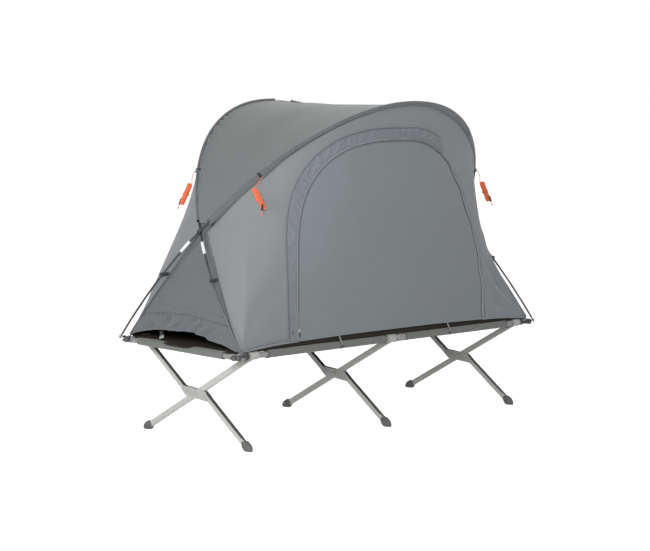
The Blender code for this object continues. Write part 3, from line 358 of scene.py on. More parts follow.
# Dark edging; on the storm flap's outer edge it is painted shadow.
CLOTH_EDGE = cloth_material("cloth_edge", (0.105, 0.117, 0.130), 0.05, 0.3)
CLOTH_FLOOR = cloth_material(
    "cloth_floor", (0.034, 0.029, 0.025), 0.15, roughness=0.8, sheen=0.0, specular=0.06,
)
DARK_BINDING = stitched_material("dark_binding", (0.070, 0.078, 0.088), (0.13, 0.14, 0.15))
WEB_BLACK = webbing_material("web_black", (0.016, 0.016, 0.017))
WEB_GREY = webbing_material("web_grey", (0.27, 0.28, 0.275))
PAINT_RAIL = painted_material("paint_rail", (0.205, 0.210, 0.203))
PAINT_LEG = painted_material("paint_leg", (0.385, 0.386, 0.364))
PAINT_FITTING = painted_material("paint_fitting", (0.290, 0.296, 0.284), wear=0.2)
# Near black for the half legs' side faces: painted shade, where those faces lie in shadow.
CHANNEL_SHADE = painted_material("painted_shade_channel", (0.050, 0.052, 0.048), 0.6, wear=0.3)
STEEL = painted_material("steel", (0.40, 0.40, 0.385), 0.42, 0.55, 0.15)
FERRULE = painted_material("ferrule", (0.74, 0.75, 0.76), 0.35, 0.2, 0.05)
RUBBER = moulded_material("rubber", (0.105, 0.107, 0.100), 0.62)
CAP = moulded_material("cap", (0.085, 0.087, 0.085), 0.5)
PLASTIC = moulded_material("plastic_black", (0.022, 0.022, 0.023), 0.45)
PLASTIC_GREY = moulded_material("plastic_grey", (0.32, 0.33, 0.33), 0.5)
POLE = glassfibre_material("glassfibre", (0.012, 0.012, 0.013))
CORD = braid_material("cord_orange", (1.0, 0.145, 0.018), (1.0, 0.50, 0.28))
COIL = coil_material("zip_coil", (0.035, 0.04, 0.045))


# Meshes
def new_object(name, data, body=None):
    """Links an object for this data, on a body where one is given."""
    obj = bpy.data.objects.new(name, data)
    bpy.context.scene.collection.objects.link(obj)
    if body:
        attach(obj, body)
    return obj


def piece(name, points, faces, uvs, body, material):
    """One object from arrays of points, faces and texture places."""
    mesh = bpy.data.meshes.new(name)
    mesh.from_pydata(points.tolist(), [], faces)
    layer = mesh.uv_layers.new(name="UVMap")
    corners = np.array([loop.vertex_index for loop in mesh.loops])
    layer.data.foreach_set("uv", uvs[corners].ravel())
    mesh.materials.append(material)
    mesh.shade_smooth()
    mesh.validate()
    return new_object(name, mesh, body)


def thicken(obj, thickness, offset):
    wall = obj.modifiers.new("cloth", "SOLIDIFY")
    wall.thickness = thickness
    wall.offset = offset


def unit(v):
    v = np.asarray(v, dtype=float)
    return v / np.maximum(np.linalg.norm(v, axis=-1, keepdims=True), 1e-12)


def distances(path):
    """How far along the path each of its points lies."""
    return np.concatenate([[0], np.cumsum(np.linalg.norm(np.diff(path, axis=0), axis=1))])


def sampled(path, at, wanted):
    return np.stack([np.interp(wanted, at, path[:, axis]) for axis in range(3)], axis=1)


def even_steps(points, count):
    path = np.array([tuple(point) for point in points], dtype=float)
    at = distances(path)
    return sampled(path, at, np.linspace(0, at[-1], count))


def smooth_route(points, between=4):
    """A curve through the points, with more points between them (Catmull-Rom)."""
    p = [np.array(tuple(q)) for q in points]
    p = [2 * p[0] - p[1]] + p + [2 * p[-1] - p[-2]]
    route = []
    for a, b, c, d in zip(p, p[1:], p[2:], p[3:]):
        for i in range(between):
            t = i / between
            route.append(0.5 * (
                2 * b + (c - a) * t + (2 * a - 5 * b + 4 * c - d) * t * t
                + (3 * b - a - 3 * c + d) * t ** 3
            ))
    route.append(p[-2])
    return np.array(route)


def circle(a, b, count=24):
    """Directions round a circle, from a towards b."""
    turns = np.linspace(0, 2 * math.pi, count + 1)[:-1, None]
    return np.cos(turns) * np.asarray(a) + np.sin(turns) * np.asarray(b)


def fade(value, start, end):
    """0 at start and 1 at end, smoothly."""
    t = np.clip((value - start) / (end - start), 0, 1)
    return t * t * (3 - 2 * t)


def rumple(x, y, size, seed, waves=9):
    """Smooth seeded waves over x and y, about -1 to 1, with the given wavelength."""
    rng = np.random.default_rng(seed)
    total = np.zeros_like(np.asarray(x, dtype=float))
    for _ in range(waves):
        turn, phase = rng.uniform(0, 2 * math.pi, 2)
        length = size * rng.uniform(0.6, 1.6)
        total += np.sin(2 * math.pi * (x * math.cos(turn) + y * math.sin(turn)) / length + phase)
    return total / math.sqrt(waves)


def folds(along, across, size, seed):
    """Rounded folds that run along one way: their crests wander a little."""
    wander = rumple(along, across, size * 5, seed, 5) * size * 0.7
    return np.abs(np.sin(math.pi * (across + wander) / size)) - 0.6


def cloth_grid(name, place, columns, rows, material, relief=None, out=(0, 0, 1), flat=(1.0, 1.0),
               body="tent", thickness=CLOTH_THICKNESS):
    """A sheet over u and v from -1 to 1, raised along its own normal by relief(u, v, places)."""
    us, vs = np.linspace(-1, 1, columns + 1), np.linspace(-1, 1, rows + 1)
    places = np.array([[tuple(place(float(u), float(v))) for u in us] for v in vs])
    across, up = np.meshgrid(us, vs)
    if relief:
        normals = np.cross(np.gradient(places, axis=1), np.gradient(places, axis=0))
        normals /= np.maximum(np.linalg.norm(normals, axis=2, keepdims=True), 1e-9)
        facing = np.sign((normals * np.array(out)).sum(axis=2, keepdims=True))
        facing[facing == 0] = 1
        places = places + normals * facing * relief(across, up, places)[..., None]
    wide = columns + 1
    faces = [
        (r * wide + c, r * wide + c + 1, (r + 1) * wide + c + 1, (r + 1) * wide + c)
        for r in range(rows) for c in range(columns)
    ]
    uvs = np.stack([across * flat[0] / 2, up * flat[1] / 2], axis=-1).reshape(-1, 2)
    obj = piece(name, places.reshape(-1, 3), faces, uvs, body, material)
    thicken(obj, thickness, 0)
    return obj


def sweep(name, path, out, half_wide, half_thick, material, sides=8, power=1.0, slot="canopy",
          body="tent", closed=False, wall=0.0, relief=None):
    """A strip or tube along a path, open at its ends where it has a wall.

    out is the thin way, and a power under 1 squares the section off.
    """
    path = np.asarray(path, dtype=float)
    count = len(path)
    if closed:
        run = unit(np.roll(path, -1, axis=0) - np.roll(path, 1, axis=0))
    else:
        run = unit(np.gradient(path, axis=0))
    out = np.broadcast_to(np.asarray(out, dtype=float), path.shape)
    thin = unit(out - run * (out * run).sum(axis=1, keepdims=True))
    wide = np.cross(run, thin)
    half_wide = np.broadcast_to(half_wide, (count,))
    half_thick = np.broadcast_to(half_thick, (count,))
    turns = np.arange(sides) * 2 * math.pi / sides
    c, s = np.cos(turns), np.sin(turns)
    c, s = np.sign(c) * np.abs(c) ** power, np.sign(s) * np.abs(s) ** power
    reach = (wide[:, None] * (half_wide[:, None] * c)[..., None]
             + thin[:, None] * (half_thick[:, None] * s)[..., None])
    if relief is not None:
        reach = reach + unit(reach) * relief[..., None]
    rings = (path[:, None] + reach).reshape(-1, 3)
    uvs = np.stack([
        np.broadcast_to(distances(path)[:, None], (count, sides)),
        np.broadcast_to(np.arange(sides) / sides, (count, sides)),
    ], axis=-1).reshape(-1, 2)
    faces = []
    for i in range(count if closed else count - 1):
        j = (i + 1) % count
        for k in range(sides):
            n = (k + 1) % sides
            faces.append((i * sides + k, i * sides + n, j * sides + n, j * sides + k))
    if not (closed or wall):
        faces.append(tuple(range(sides))[::-1])
        faces.append(tuple((count - 1) * sides + k for k in range(sides)))
    obj = piece(name, rings, faces, uvs, body, material)
    if wall:
        thicken(obj, wall, -1)
    return obj


def stub(name, place, run, out, stations, material, sides=12, power=1.0, **more):
    """A short straight piece along run. Each station is a distance and its half sizes."""
    stations = np.array(stations)
    path = np.array(place) + np.outer(stations[:, 0], run)
    return sweep(name, path, out, stations[:, 1], stations[:, -1], material, sides, power, **more)


def both_ways(*stations):
    """Stations of a piece that is the same both ways from its middle."""
    return [(-distance, *sizes) for distance, *sizes in reversed(stations)] + list(stations)


def merged(name, objects, body):
    """Joins pieces of one kind into one object."""
    points, faces, uvs, materials, index = [], [], [], [], []
    for obj in objects:
        mesh = obj.data
        start = len(points)
        points += [tuple(v.co) for v in mesh.vertices]
        for polygon in mesh.polygons:
            faces.append(tuple(start + v for v in polygon.vertices))
            uvs += [tuple(mesh.uv_layers[0].data[loop].uv) for loop in polygon.loop_indices]
            material = mesh.materials[polygon.material_index]
            if material not in materials:
                materials.append(material)
            index.append(materials.index(material))
    mesh = bpy.data.meshes.new(name)
    mesh.from_pydata(points, [], faces)
    mesh.uv_layers.new(name="UVMap").data.foreach_set("uv", np.array(uvs).ravel())
    for material in materials:
        mesh.materials.append(material)
    mesh.polygons.foreach_set("material_index", index)
    mesh.shade_smooth()
    for obj in objects:
        bpy.data.objects.remove(obj, do_unlink=True)
    return new_object(name, mesh, body)


# Tent geometry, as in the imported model
def pole_at(side, rise, end=-1):
    part = min(rise / POLE_RISE, 1.0)
    span = POLE_HALF_SPAN - side * POLE_STAGGER
    x = end * span * (1 - part ** POLE_FULLNESS) ** (1 / POLE_FULLNESS)
    y = side * (rise * math.sin(POLE_LEAN) - POLE_CORNER_Y)
    return Vector((x, y, POLE_CORNER_Z + rise * math.cos(POLE_LEAN)))


def pole_path(side, first=0.0, count=400):
    """Even steps along a pole, from one rise on the left to the same rise on the right."""
    points = []
    for turn in np.linspace(0, math.pi, 1200):
        rise = POLE_RISE * math.sin(turn) ** (2 / POLE_FULLNESS)
        if rise >= first:
            points.append(pole_at(side, rise, -1 if turn < math.pi / 2 else 1))
    return even_steps(points, count)


def hem_z(x):
    past = max(0.0, abs(x) - DOOR_HALF_WIDTH) / (HEM_HALF_LENGTH - DOOR_HALF_WIDTH)
    return HEM_Z - (HEM_Z - HEM_CORNER_Z) * min(past, 1.0) ** 2


def hem_drop(x):
    """How far the cloth's edge hangs below the solids' edge."""
    return 0.0015 + 0.0055 * min(1.0, max(0.0, abs(x) - 0.25) / 0.35)


def cloth_edge_z(x):
    return hem_z(x) - hem_drop(x)


def panel_hem(side, u):
    reach = abs(u)
    if reach < SHOULDER:
        part = CORNER_PACKING * reach / SHOULDER
    else:
        part = CORNER_PACKING + (1 - CORNER_PACKING) * (reach - SHOULDER) / (1 - SHOULDER)
    x = math.copysign(HEM_HALF_LENGTH * part, u)
    return Vector((x, side * HEM_Y, hem_z(x)))


def column_x(u, lowest):
    """Where a column of cloth meets the arch, for a sheet that starts at this lowest rise."""
    widest = math.asin(abs(pole_at(0, lowest).x) / POLE_HALF_SPAN)
    return math.copysign(POLE_HALF_SPAN * math.sin(abs(u) * widest), u)


def arch_point(side, x):
    part = min(abs(x) / POLE_HALF_SPAN, 1.0)
    rise = POLE_RISE * (1 - part ** POLE_FULLNESS) ** (1 / POLE_FULLNESS)
    return pole_at(side, rise) * Vector((0, 1, 1)) + Vector((x, 0, 0))


def inset_from_pole(side, x, towards, inset):
    step = 0.002
    run = (arch_point(side, x + step) - arch_point(side, x - step)).normalized()
    return (towards - run * towards.dot(run)).normalized() * inset


def panel_top(side, u, inset=EDGE_INSET):
    x = column_x(u, CROSS_RISE + SLEEVE_START * 0.4)
    point = arch_point(side, x)
    step = inset_from_pole(side, x, panel_hem(side, u) - point, inset)
    corner = float(abs(u)) ** 12
    return point + step - corner * Vector((math.copysign(SEAM_INSET, u), 0, SEAM_DROP))


def side_panel_point(side, u, s, inset=EDGE_INSET):
    foot, head = panel_hem(side, u), panel_top(side, u, inset)
    bow = SEAM_BOW * 4 * s * (1 - s) * max(0.0, (abs(u) - SHOULDER) / (1 - SHOULDER))
    return foot.lerp(head, s) + Vector((math.copysign(bow, u), 0, 0))


def drawn_in(side, u, s):
    """How far the taut cloth pulls in from the straight lines between its hem and its arch."""
    t = max(0.0, (s - 0.3) / 0.7)
    under_arch = 0.021 * 6.75 * t * t * (1 - t) * (1 - abs(u) ** 3)
    if side > 0:
        return Vector((0, -under_arch, 0))
    shoulder = 0.043 * 4 * s * (1 - s) * float(fade(u, 0.57, 0.76) * (1 - fade(u, 0.93, 1.0)))
    return Vector((-0.5 * shoulder, under_arch + 0.86 * shoulder, 0))


COLUMNS = np.linspace(-SHOULDER, SHOULDER, 161)
COLUMN_FEET = np.array([tuple(panel_hem(-1, u)) for u in COLUMNS])
COLUMN_HEADS = np.array([tuple(panel_top(-1, u)) for u in COLUMNS])


def side_panel_uv(x, z):
    """The column and height of the near panel at this x and z, between the shoulders."""
    share = (z - COLUMN_FEET[:, 2]) / (COLUMN_HEADS[:, 2] - COLUMN_FEET[:, 2])
    xs = COLUMN_FEET[:, 0] + (COLUMN_HEADS[:, 0] - COLUMN_FEET[:, 0]) * share
    return float(np.interp(x, xs, COLUMNS)), float(np.interp(x, xs, share))


def on_panel(x, z, out=0.0):
    """A point of the near panel at x and z, moved outwards by out."""
    u, s = side_panel_uv(x, z)
    point = side_panel_point(-1, u, s) + drawn_in(-1, u, s)
    return Vector((x, point.y - out, z))


def door_edge(q, grow=0.0):
    """The door's outline, grown, at a share q of the way from its lower left to its lower right."""
    turn = math.pi * (1 - q)
    power = DOOR_SQUARENESS[0] if q < 0.5 else DOOR_SQUARENESS[1]
    across, up = abs(math.cos(turn)) ** (2 / power), max(0.0, math.sin(turn)) ** (2 / power)
    x = (DOOR_HALF_WIDTH + grow) * math.copysign(across, q - 0.5)
    return x, DOOR_BOTTOM + (DOOR_TOP - DOOR_BOTTOM + grow) * up


def zip_wander(q):
    """How far the zip strays from the door's clean outline: most down the right side."""
    if q <= 0.5:
        return 0.0
    up = max(0.0, math.sin(math.pi * (1 - q))) ** (2 / DOOR_SQUARENESS[1])
    swing = math.sin(up * 36.0 + 0.9) * 0.0042 + math.sin(up * 17.0) * 0.0022
    hook = 0.012 * math.exp(-((up - 0.03) / 0.055) ** 2)
    return (swing - hook) * fade(q, 0.56, 0.66) * fade(up, 0.0, 0.05)


def door_place(u, v):
    """The door's sheet at u and v, its right edge drawn along by the zip."""
    x = math.sin(u * math.pi / 2) * (DOOR_HALF_WIDTH - 0.0004)
    power = DOOR_SQUARENESS[0] if u < 0 else DOOR_SQUARENESS[1]
    part = (1 - (abs(x) / DOOR_HALF_WIDTH) ** power) ** (1 / power)
    height = part * (v + 1) / 2
    if u > 0:
        across = (1 - height ** power) ** (1 / power)
        near = fade(abs(x) / DOOR_HALF_WIDTH / max(across, 0.05), 0.86, 1.0)
        q = 1 - math.asin(min(1.0, height ** (power / 2))) / math.pi
        stray = zip_wander(q) * near
        x += stray * across
        height += stray * height / (DOOR_TOP - DOOR_BOTTOM)
    z = DOOR_BOTTOM + (DOOR_TOP - DOOR_BOTTOM) * height
    return on_panel(x, z - hem_drop(x) * (1 - fade(height, 0.0, 0.06)))


def seam_point(side, end, down):
    return side_panel_point(side, float(end), 1 - down)


# Camera and light
def make_camera():
    azimuth, elevation, roll = (math.radians(a) for a in CAMERA_ANGLES)
    back = Vector((
        math.sin(azimuth) * math.cos(elevation), -math.cos(azimuth) * math.cos(elevation),
        math.sin(elevation),
    ))
    level = Vector((math.cos(azimuth), math.sin(azimuth), 0))
    above = back.cross(level)
    right = level * math.cos(roll) + above * math.sin(roll)
    up = above * math.cos(roll) - level * math.sin(roll)
    data = bpy.data.cameras.new("camera")
    data.sensor_width = SENSOR
    data.sensor_fit = "HORIZONTAL"
    data.lens = FOCAL_PIXELS * SENSOR / PHOTO_WIDTH
    data.clip_end = 100
    camera = new_object("camera", data)
    turn = Matrix((right, up, back)).transposed().to_4x4()
    camera.matrix_world = Matrix.Translation(CAMERA_PLACE) @ turn
    bpy.context.scene.camera = camera
    bpy.context.scene.view_settings.view_transform = "Standard"


def lamp(name, place, target, size, energy):
    data = bpy.data.lights.new(name, "AREA")
    data.shape = "DISK"
    data.size = size
    data.energy = energy
    way = Vector(place) - Vector(target)
    turn = way.to_track_quat("Z", "Y").to_matrix().to_4x4()
    new_object(name, data).matrix_world = Matrix.Translation(place) @ turn


def seen_straight(made):
    """1 for what the camera, a reflection or a clear pane shows, and 0 for light."""
    path = node(made, "LightPath")
    shown = maths(made, "MAXIMUM", path.outputs["Is Camera Ray"], path.outputs["Is Glossy Ray"])
    return maths(made, "MAXIMUM", shown, path.outputs["Is Transmission Ray"])


def make_light():
    lamp("key", (-4.3, -3.3, 2.0), (0, 0, 0.7), 1.5, 156)
    lamp("top", (1.0, -2.8, 4.3), (0, 0, 0.7), 1.8, 50)
    lamp("side", (-5.4, 0.6, 2.6), (0, 0, 0.7), 2.6, 98)
    lamp("back", (1.6, 5.0, 3.4), (0, 0, 0.8), 3.0, 12)
    world = bpy.data.worlds.new("studio")
    bpy.context.scene.world = world
    world.use_nodes = True
    strength = node(world, "MapRange", [("Value", seen_straight(world))], To_Min=0.20)
    sky = world.node_tree.nodes["Background"]
    sky.inputs["Color"].default_value = (1, 1, 1, 1)
    world.node_tree.links.new(sky.inputs["Strength"], strength.outputs[0])


def make_stage():
    """A white floor: the camera sees it white, with the object's shadow on it."""
    made = shader_material("floor_white", (0.86, 0.86, 0.86), 0.9)
    nodes = made.node_tree.nodes
    glow = node(made, "Emission", [("Strength", maths(made, "MULTIPLY", seen_straight(made), 0.86))])
    both = node(made, "AddShader", [(0, nodes["Principled BSDF"].outputs[0]), (1, glow.outputs[0])])
    made.node_tree.links.new(nodes["Material Output"].inputs["Surface"], both.outputs[0])
    mesh = bpy.data.meshes.new("floor")
    half = 30.0
    corners = [(x * half, y * half, -0.0005) for x, y in ((-1, -1), (1, -1), (1, 1), (-1, 1))]
    mesh.from_pydata(corners, [], [(0, 1, 2, 3)])
    mesh.materials.append(made)
    new_object("floor", mesh)


# Guy cords
def guy_tab_direction(side, end):
    return Vector((end * 0.25, side, -0.25)).normalized()


def guy_tab_place(side, end):
    return pole_at(side, GUY_RISE, end) + guy_tab_direction(side, end) * (SLEEVE_RADIUS - 0.001)


def hank_frame(side, end, lean):
    """Down the slope, out from it, level along it and along the leaning hank."""
    head, foot = side_panel_point(side, end * 0.75, 0.95), side_panel_point(side, end * 0.75, 0.5)
    slope = (foot - head).normalized()
    out = slope.cross(Vector((side, 0, 0))).normalized()
    out = out if out.y * side > 0 else -out
    level = out.cross(slope).normalized()
    level = level if level.x > 0 else -level
    return slope, out, level, slope * math.cos(lean) + level * math.sin(lean)


def hank_path(side, end, lean):
    """The route of one guy cord: lead, loops, wraps and tail."""
    slope, out, level, axis = hank_frame(side, end, lean)
    top = guy_tab_place(side, end)
    top += guy_tab_direction(side, end) * (TAB_LENGTH + CORD_RADIUS + 0.0003)
    across = axis.cross(out).normalized()
    centre = top + slope * HANK_DROP + out * HANK_STANDOFF - level * math.sin(lean) * HANK_SHIFT
    half = HANK_LENGTH / 2
    depth = HANK_STEP * HANK_LOOPS / 2

    def at(u, w, n):
        return centre + axis * u + across * w + out * n

    points = []
    first = at(-half, 0, -depth)
    for t in np.linspace(0, 1, 6)[:-1]:
        points.append(top.lerp(first, t) + out * LEAD_SLACK * math.sin(math.pi * t))
    for i in range(HANK_LOOPS * LOOP_POINTS + 1):
        turn = 2 * math.pi * i / LOOP_POINTS
        u = -half * math.cos(turn)
        narrow = HANK_WAIST + (1 - HANK_WAIST) * (u / half) ** 2
        w = HANK_WIDTH / 2 * math.sin(turn) * narrow
        points.append(at(u, w, -depth + HANK_STEP * i / LOOP_POINTS))
    wrap_n = depth + WRAP_CLEARANCE
    wrap_w = HANK_WIDTH / 2 * HANK_WAIST + WRAP_CLEARANCE
    for t in (0.12, 0.4, 0.7):
        points.append(at(-half + t * RUN_IN, 0, wrap_n + RUN_IN_RISE * (1 - t)))
    for i in range(WRAP_TURNS * WRAP_POINTS + 1):
        turn = 2 * math.pi * i / WRAP_POINTS
        c, s = math.cos(turn), math.sin(turn)
        w = wrap_w * math.copysign(abs(s) ** WRAP_SQUARENESS, s)
        n = wrap_n * math.copysign(abs(c) ** WRAP_SQUARENESS, c)
        points.append(at(WRAP_START + HANK_STEP * i / WRAP_POINTS, w, n))
    last = at(WRAP_START + HANK_STEP * WRAP_TURNS, 0, wrap_n)
    for t in (0.2, 0.6, 1.0):
        points.append(last + out * TAIL_LIFT * min(1, 3 * t) + slope * TAIL_LENGTH * t)
    return points


def make_cords():
    """Each guy cord, with the slotted slider and the knot on its tail."""
    slider_shape = both_ways(
        (0.004, 0.0052, 0.0026), (0.012, 0.0048, 0.0030), (0.0135, 0.003, 0.0022),
    )
    knot_shape = (
        (-0.0035, 0.0016, 0.0016), (-0.002, 0.0028, 0.0026), (0.0, 0.0032, 0.0030),
        (0.002, 0.0026, 0.0025), (0.0032, 0.0012, 0.0012),
    )
    for corner, side, end in CORNERS:
        lean = math.radians(HANK_LEAN[corner])
        path = hank_path(side, end, lean)
        route = smooth_route(path)
        curve = bpy.data.curves.new(f"guy_line_{corner}", "CURVE")
        curve.dimensions = "3D"
        curve.bevel_depth = CORD_RADIUS
        curve.bevel_resolution = 3
        curve.use_fill_caps = True
        spline = curve.splines.new("POLY")
        spline.points.add(len(route) - 1)
        for point, place in zip(spline.points, route):
            point.co = (*place, 1)
        curve.materials.append(CORD)
        cord = new_object(f"guy_line_{corner}", curve, "tent")
        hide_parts(f"guy_cord_{corner}")
        slope, out, _, _ = hank_frame(side, end, lean)
        slider = stub(
            f"guy_slider_{corner}_shell", path[-1] - slope * 0.030, slope, out, slider_shape,
            PLASTIC, 14, 0.7, slot="guy_cord",
        )
        knot = stub(
            f"guy_knot_{corner}", path[-1], slope, out, knot_shape, CORD, slot="guy_cord",
        )


# Cloth of the tent
def edge_pucker(along, from_edge, seed=1):
    """Small puckers where a panel is sewn to a sleeve."""
    ripple = np.sin(2 * math.pi * along / 0.022 + rumple(along, from_edge, 0.2, seed, 5) * 2)
    return 0.0012 * ripple * np.exp(-np.abs(from_edge) / 0.035)


def make_roof():
    """The lens between the arches, taut across and a little slack along its middle."""
    def place(u, v):
        x = column_x(u, CROSS_RISE + SLEEVE_START * 0.75)
        edge = arch_point(1, x) + inset_from_pole(1, x, Vector((0, -1, 0)), TUCK)
        sag = ROOF_SAG * (1 - v * v) * (1 - u * u)
        return Vector((edge.x, v * edge.y, edge.z - sag))

    def relief(u, v, p):
        near, far = (1 + v) * 0.4, (1 - v) * 0.4
        soft = 0.0022 * rumple(p[..., 0] * 0.35, p[..., 1], 0.30, 11)
        ends = 0.003 * fade(np.abs(u), 0.72, 0.95) * folds(p[..., 1], p[..., 2], 0.06, 12)
        edge = np.where(u < 0, far, near)
        along = (p[..., 2] + np.abs(p[..., 0])) * 0.75 * np.sign(u)
        shoulder = fade(np.abs(p[..., 0]), 0.20, 0.40) * (1 - fade(np.abs(u), 0.90, 0.97))
        slanted = np.sin(2 * math.pi * (along / 0.0165 + edge / 0.055))
        gathers = (0.0014 + 0.0034 * slanted) * (1 - fade(edge, 0.028, 0.044)) * shoulder
        return (soft * (1 - v * v) + ends * (1 - v * v) + gathers
                + edge_pucker(p[..., 0], near) + edge_pucker(p[..., 0] + 0.3, far, 2))

    roof = cloth_grid("roof_cloth", place, 420, 88, CLOTH_ROOF, relief, flat=(2.6, 0.85))
    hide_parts("roof_panel")
    return roof


def side_relief(s, p, seed):
    """Folds of a side panel: drawn to its lower corners, puckered along the arch and slack below."""
    x, z = p[..., 0], p[..., 2]
    corner = 0
    for end, strength in ((-1, 0.22), (1, 1.0)):
        dx, dz = HEM_HALF_LENGTH - end * x, z - HEM_CORNER_Z
        far = np.hypot(dx, dz)
        angle = np.arctan2(dz, dx) + 0.5 * far * far
        fan = 0.5 * np.sin(angle * 13.0 + rumple(x, z, 0.40, seed + 3, 5) * 1.1) - 0.1
        band = np.minimum(far / 0.22, 1) * fade(far, 0.02, 0.10) * (1 - fade(far, 0.36, 0.60))
        low = fade(angle, 0.03, 0.11) * (1 - fade(angle, 1.1, 1.35))
        corner = corner + strength * 0.0210 * fan * band * low
    slack = 0.0016 * rumple(x, z * 0.6, 0.34, seed + 5) * fade(s, 0.0, 0.1) * (1 - fade(s, 0.9, 1))
    return edge_pucker(x, (1 - s) * 0.8, seed) + corner * fade(s, 0.0, 0.06) + slack


def make_far_panel():
    def place(u, v):
        s = (v + 1) / 2
        point = side_panel_point(1, u, s, TUCK) + drawn_in(1, u, s)
        return point - Vector((0, 0, hem_drop(point.x) * (1 - float(fade(v, -1, -0.88)))))

    def relief(u, v, p):
        return side_relief((v + 1) / 2, p, 31)

    panel = cloth_grid(
        "far_cloth", place, 170, 64, CLOTH_SIDE, relief, (0, 1, 0), (2.0, 1.0),
    )
    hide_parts("far_side_panel")
    return panel


def ring_border(q):
    """The outer edge of the near panel: up its left end, along the arch and down its right end."""
    side_share = 0.22
    if q < side_share:
        return -1.0, q / side_share
    if q > 1 - side_share:
        return 1.0, (1 - q) / side_share
    return (q - side_share) / (1 - 2 * side_share) * 2 - 1, 1.0


def beside_flap(x, z):
    """0 where the storm flap lies on the near panel, and 1 elsewhere."""
    power = np.where(x < 0, DOOR_SQUARENESS[0], DOOR_SQUARENESS[1])
    wide = np.abs(x) / DOOR_HALF_WIDTH
    high = np.maximum(z - DOOR_BOTTOM, 0) / (DOOR_TOP - DOOR_BOTTOM)
    size = (wide ** power + high ** power) ** (1 / power)
    return np.maximum(fade(size, 1.085, 1.14), fade(x, 0.24, 0.34))


def make_near_panel():
    """The door side, from the door's outline out to the seams and the arch."""
    def place(u, v):
        q, r = (u + 1) / 2, (v + 1) / 2
        x, z = door_edge(q, DOOR_GAP * 0.4 + zip_wander(q))
        inner = side_panel_uv(x, max(z, hem_z(x)))
        outer = ring_border(q)
        column, height = (inner[i] + (outer[i] - inner[i]) * r for i in (0, 1))
        point = side_panel_point(-1, column, height, EDGE_INSET + (TUCK - EDGE_INSET) * r)
        point += drawn_in(-1, column, height)
        return point - Vector((0, 0, hem_drop(point.x) * (1 - float(fade(height, 0.0, 0.06)))))

    def relief(u, v, p):
        q, r = (u + 1) / 2, (v + 1) / 2
        x, z = p[..., 0], p[..., 2]
        s = np.clip((z - HEM_Z) / 0.8, 0, 1)
        right = fade(q, 0.6, 0.7)
        general = side_relief(s, p, 41) * beside_flap(x, z)
        by_zip = 0.0014 * np.sin(q * 150 + rumple(q, r, 0.2, 7, 5) * 2) * (1 - fade(r, 0.0, 0.25))
        long_folds = 0.0050 * (0.5 - np.abs(rumple(x * 1.6, z * 0.25, 0.15, 43, 5)))
        upper = fade(x, 0.63, 0.70) * fade(s, 0.2, 0.45) * (1 - fade(s, 0.85, 1.0))
        off_zip = fade(r, 0.0, 0.12)
        clear = off_zip + (fade(r, 0.10, 0.26) - off_zip) * right
        off_seam = 1 - fade(r, 0.965, 1.0) * fade(q, 0.7, 0.8)
        return (general + long_folds * upper) * clear * off_seam + by_zip * right

    panel = cloth_grid(
        "near_cloth", place, 300, 40, CLOTH_SIDE, relief, (0, -1, 0), (3.2, 0.4),
    )
    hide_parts("near_side_panel")
    return panel


def make_door():
    """The door's sheet follows the panel that it closes, and hinges on its lower edge."""
    def relief(u, v, p):
        x, z = p[..., 0], p[..., 2]
        soft = 0.0035 * rumple(x, z * 0.7, 0.55, 51, 7)
        fine = 0.0009 * rumple(x, z, 0.14, 52, 9)
        rim = (1 - np.abs(u) ** 6) * (1 - np.clip(v, 0, 1) ** 6) * fade(v, -1, -0.9)
        return (soft + fine) * rim

    door = cloth_grid(
        "door_cloth", door_place, 150, 90, CLOTH_DOOR, relief, (0, -1, 0), (1.18, 0.82),
        body="door",
    )
    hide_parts("door_panel")
    return door


def flap_line(grow, count):
    """Even steps along the flap's stretch of the door's outline, as x and z."""
    qs = FLAP_END * np.linspace(0, 1, 1500) ** 2.2
    return even_steps([(*door_edge(q, grow), 0.0) for q in qs], count)[:, :2]


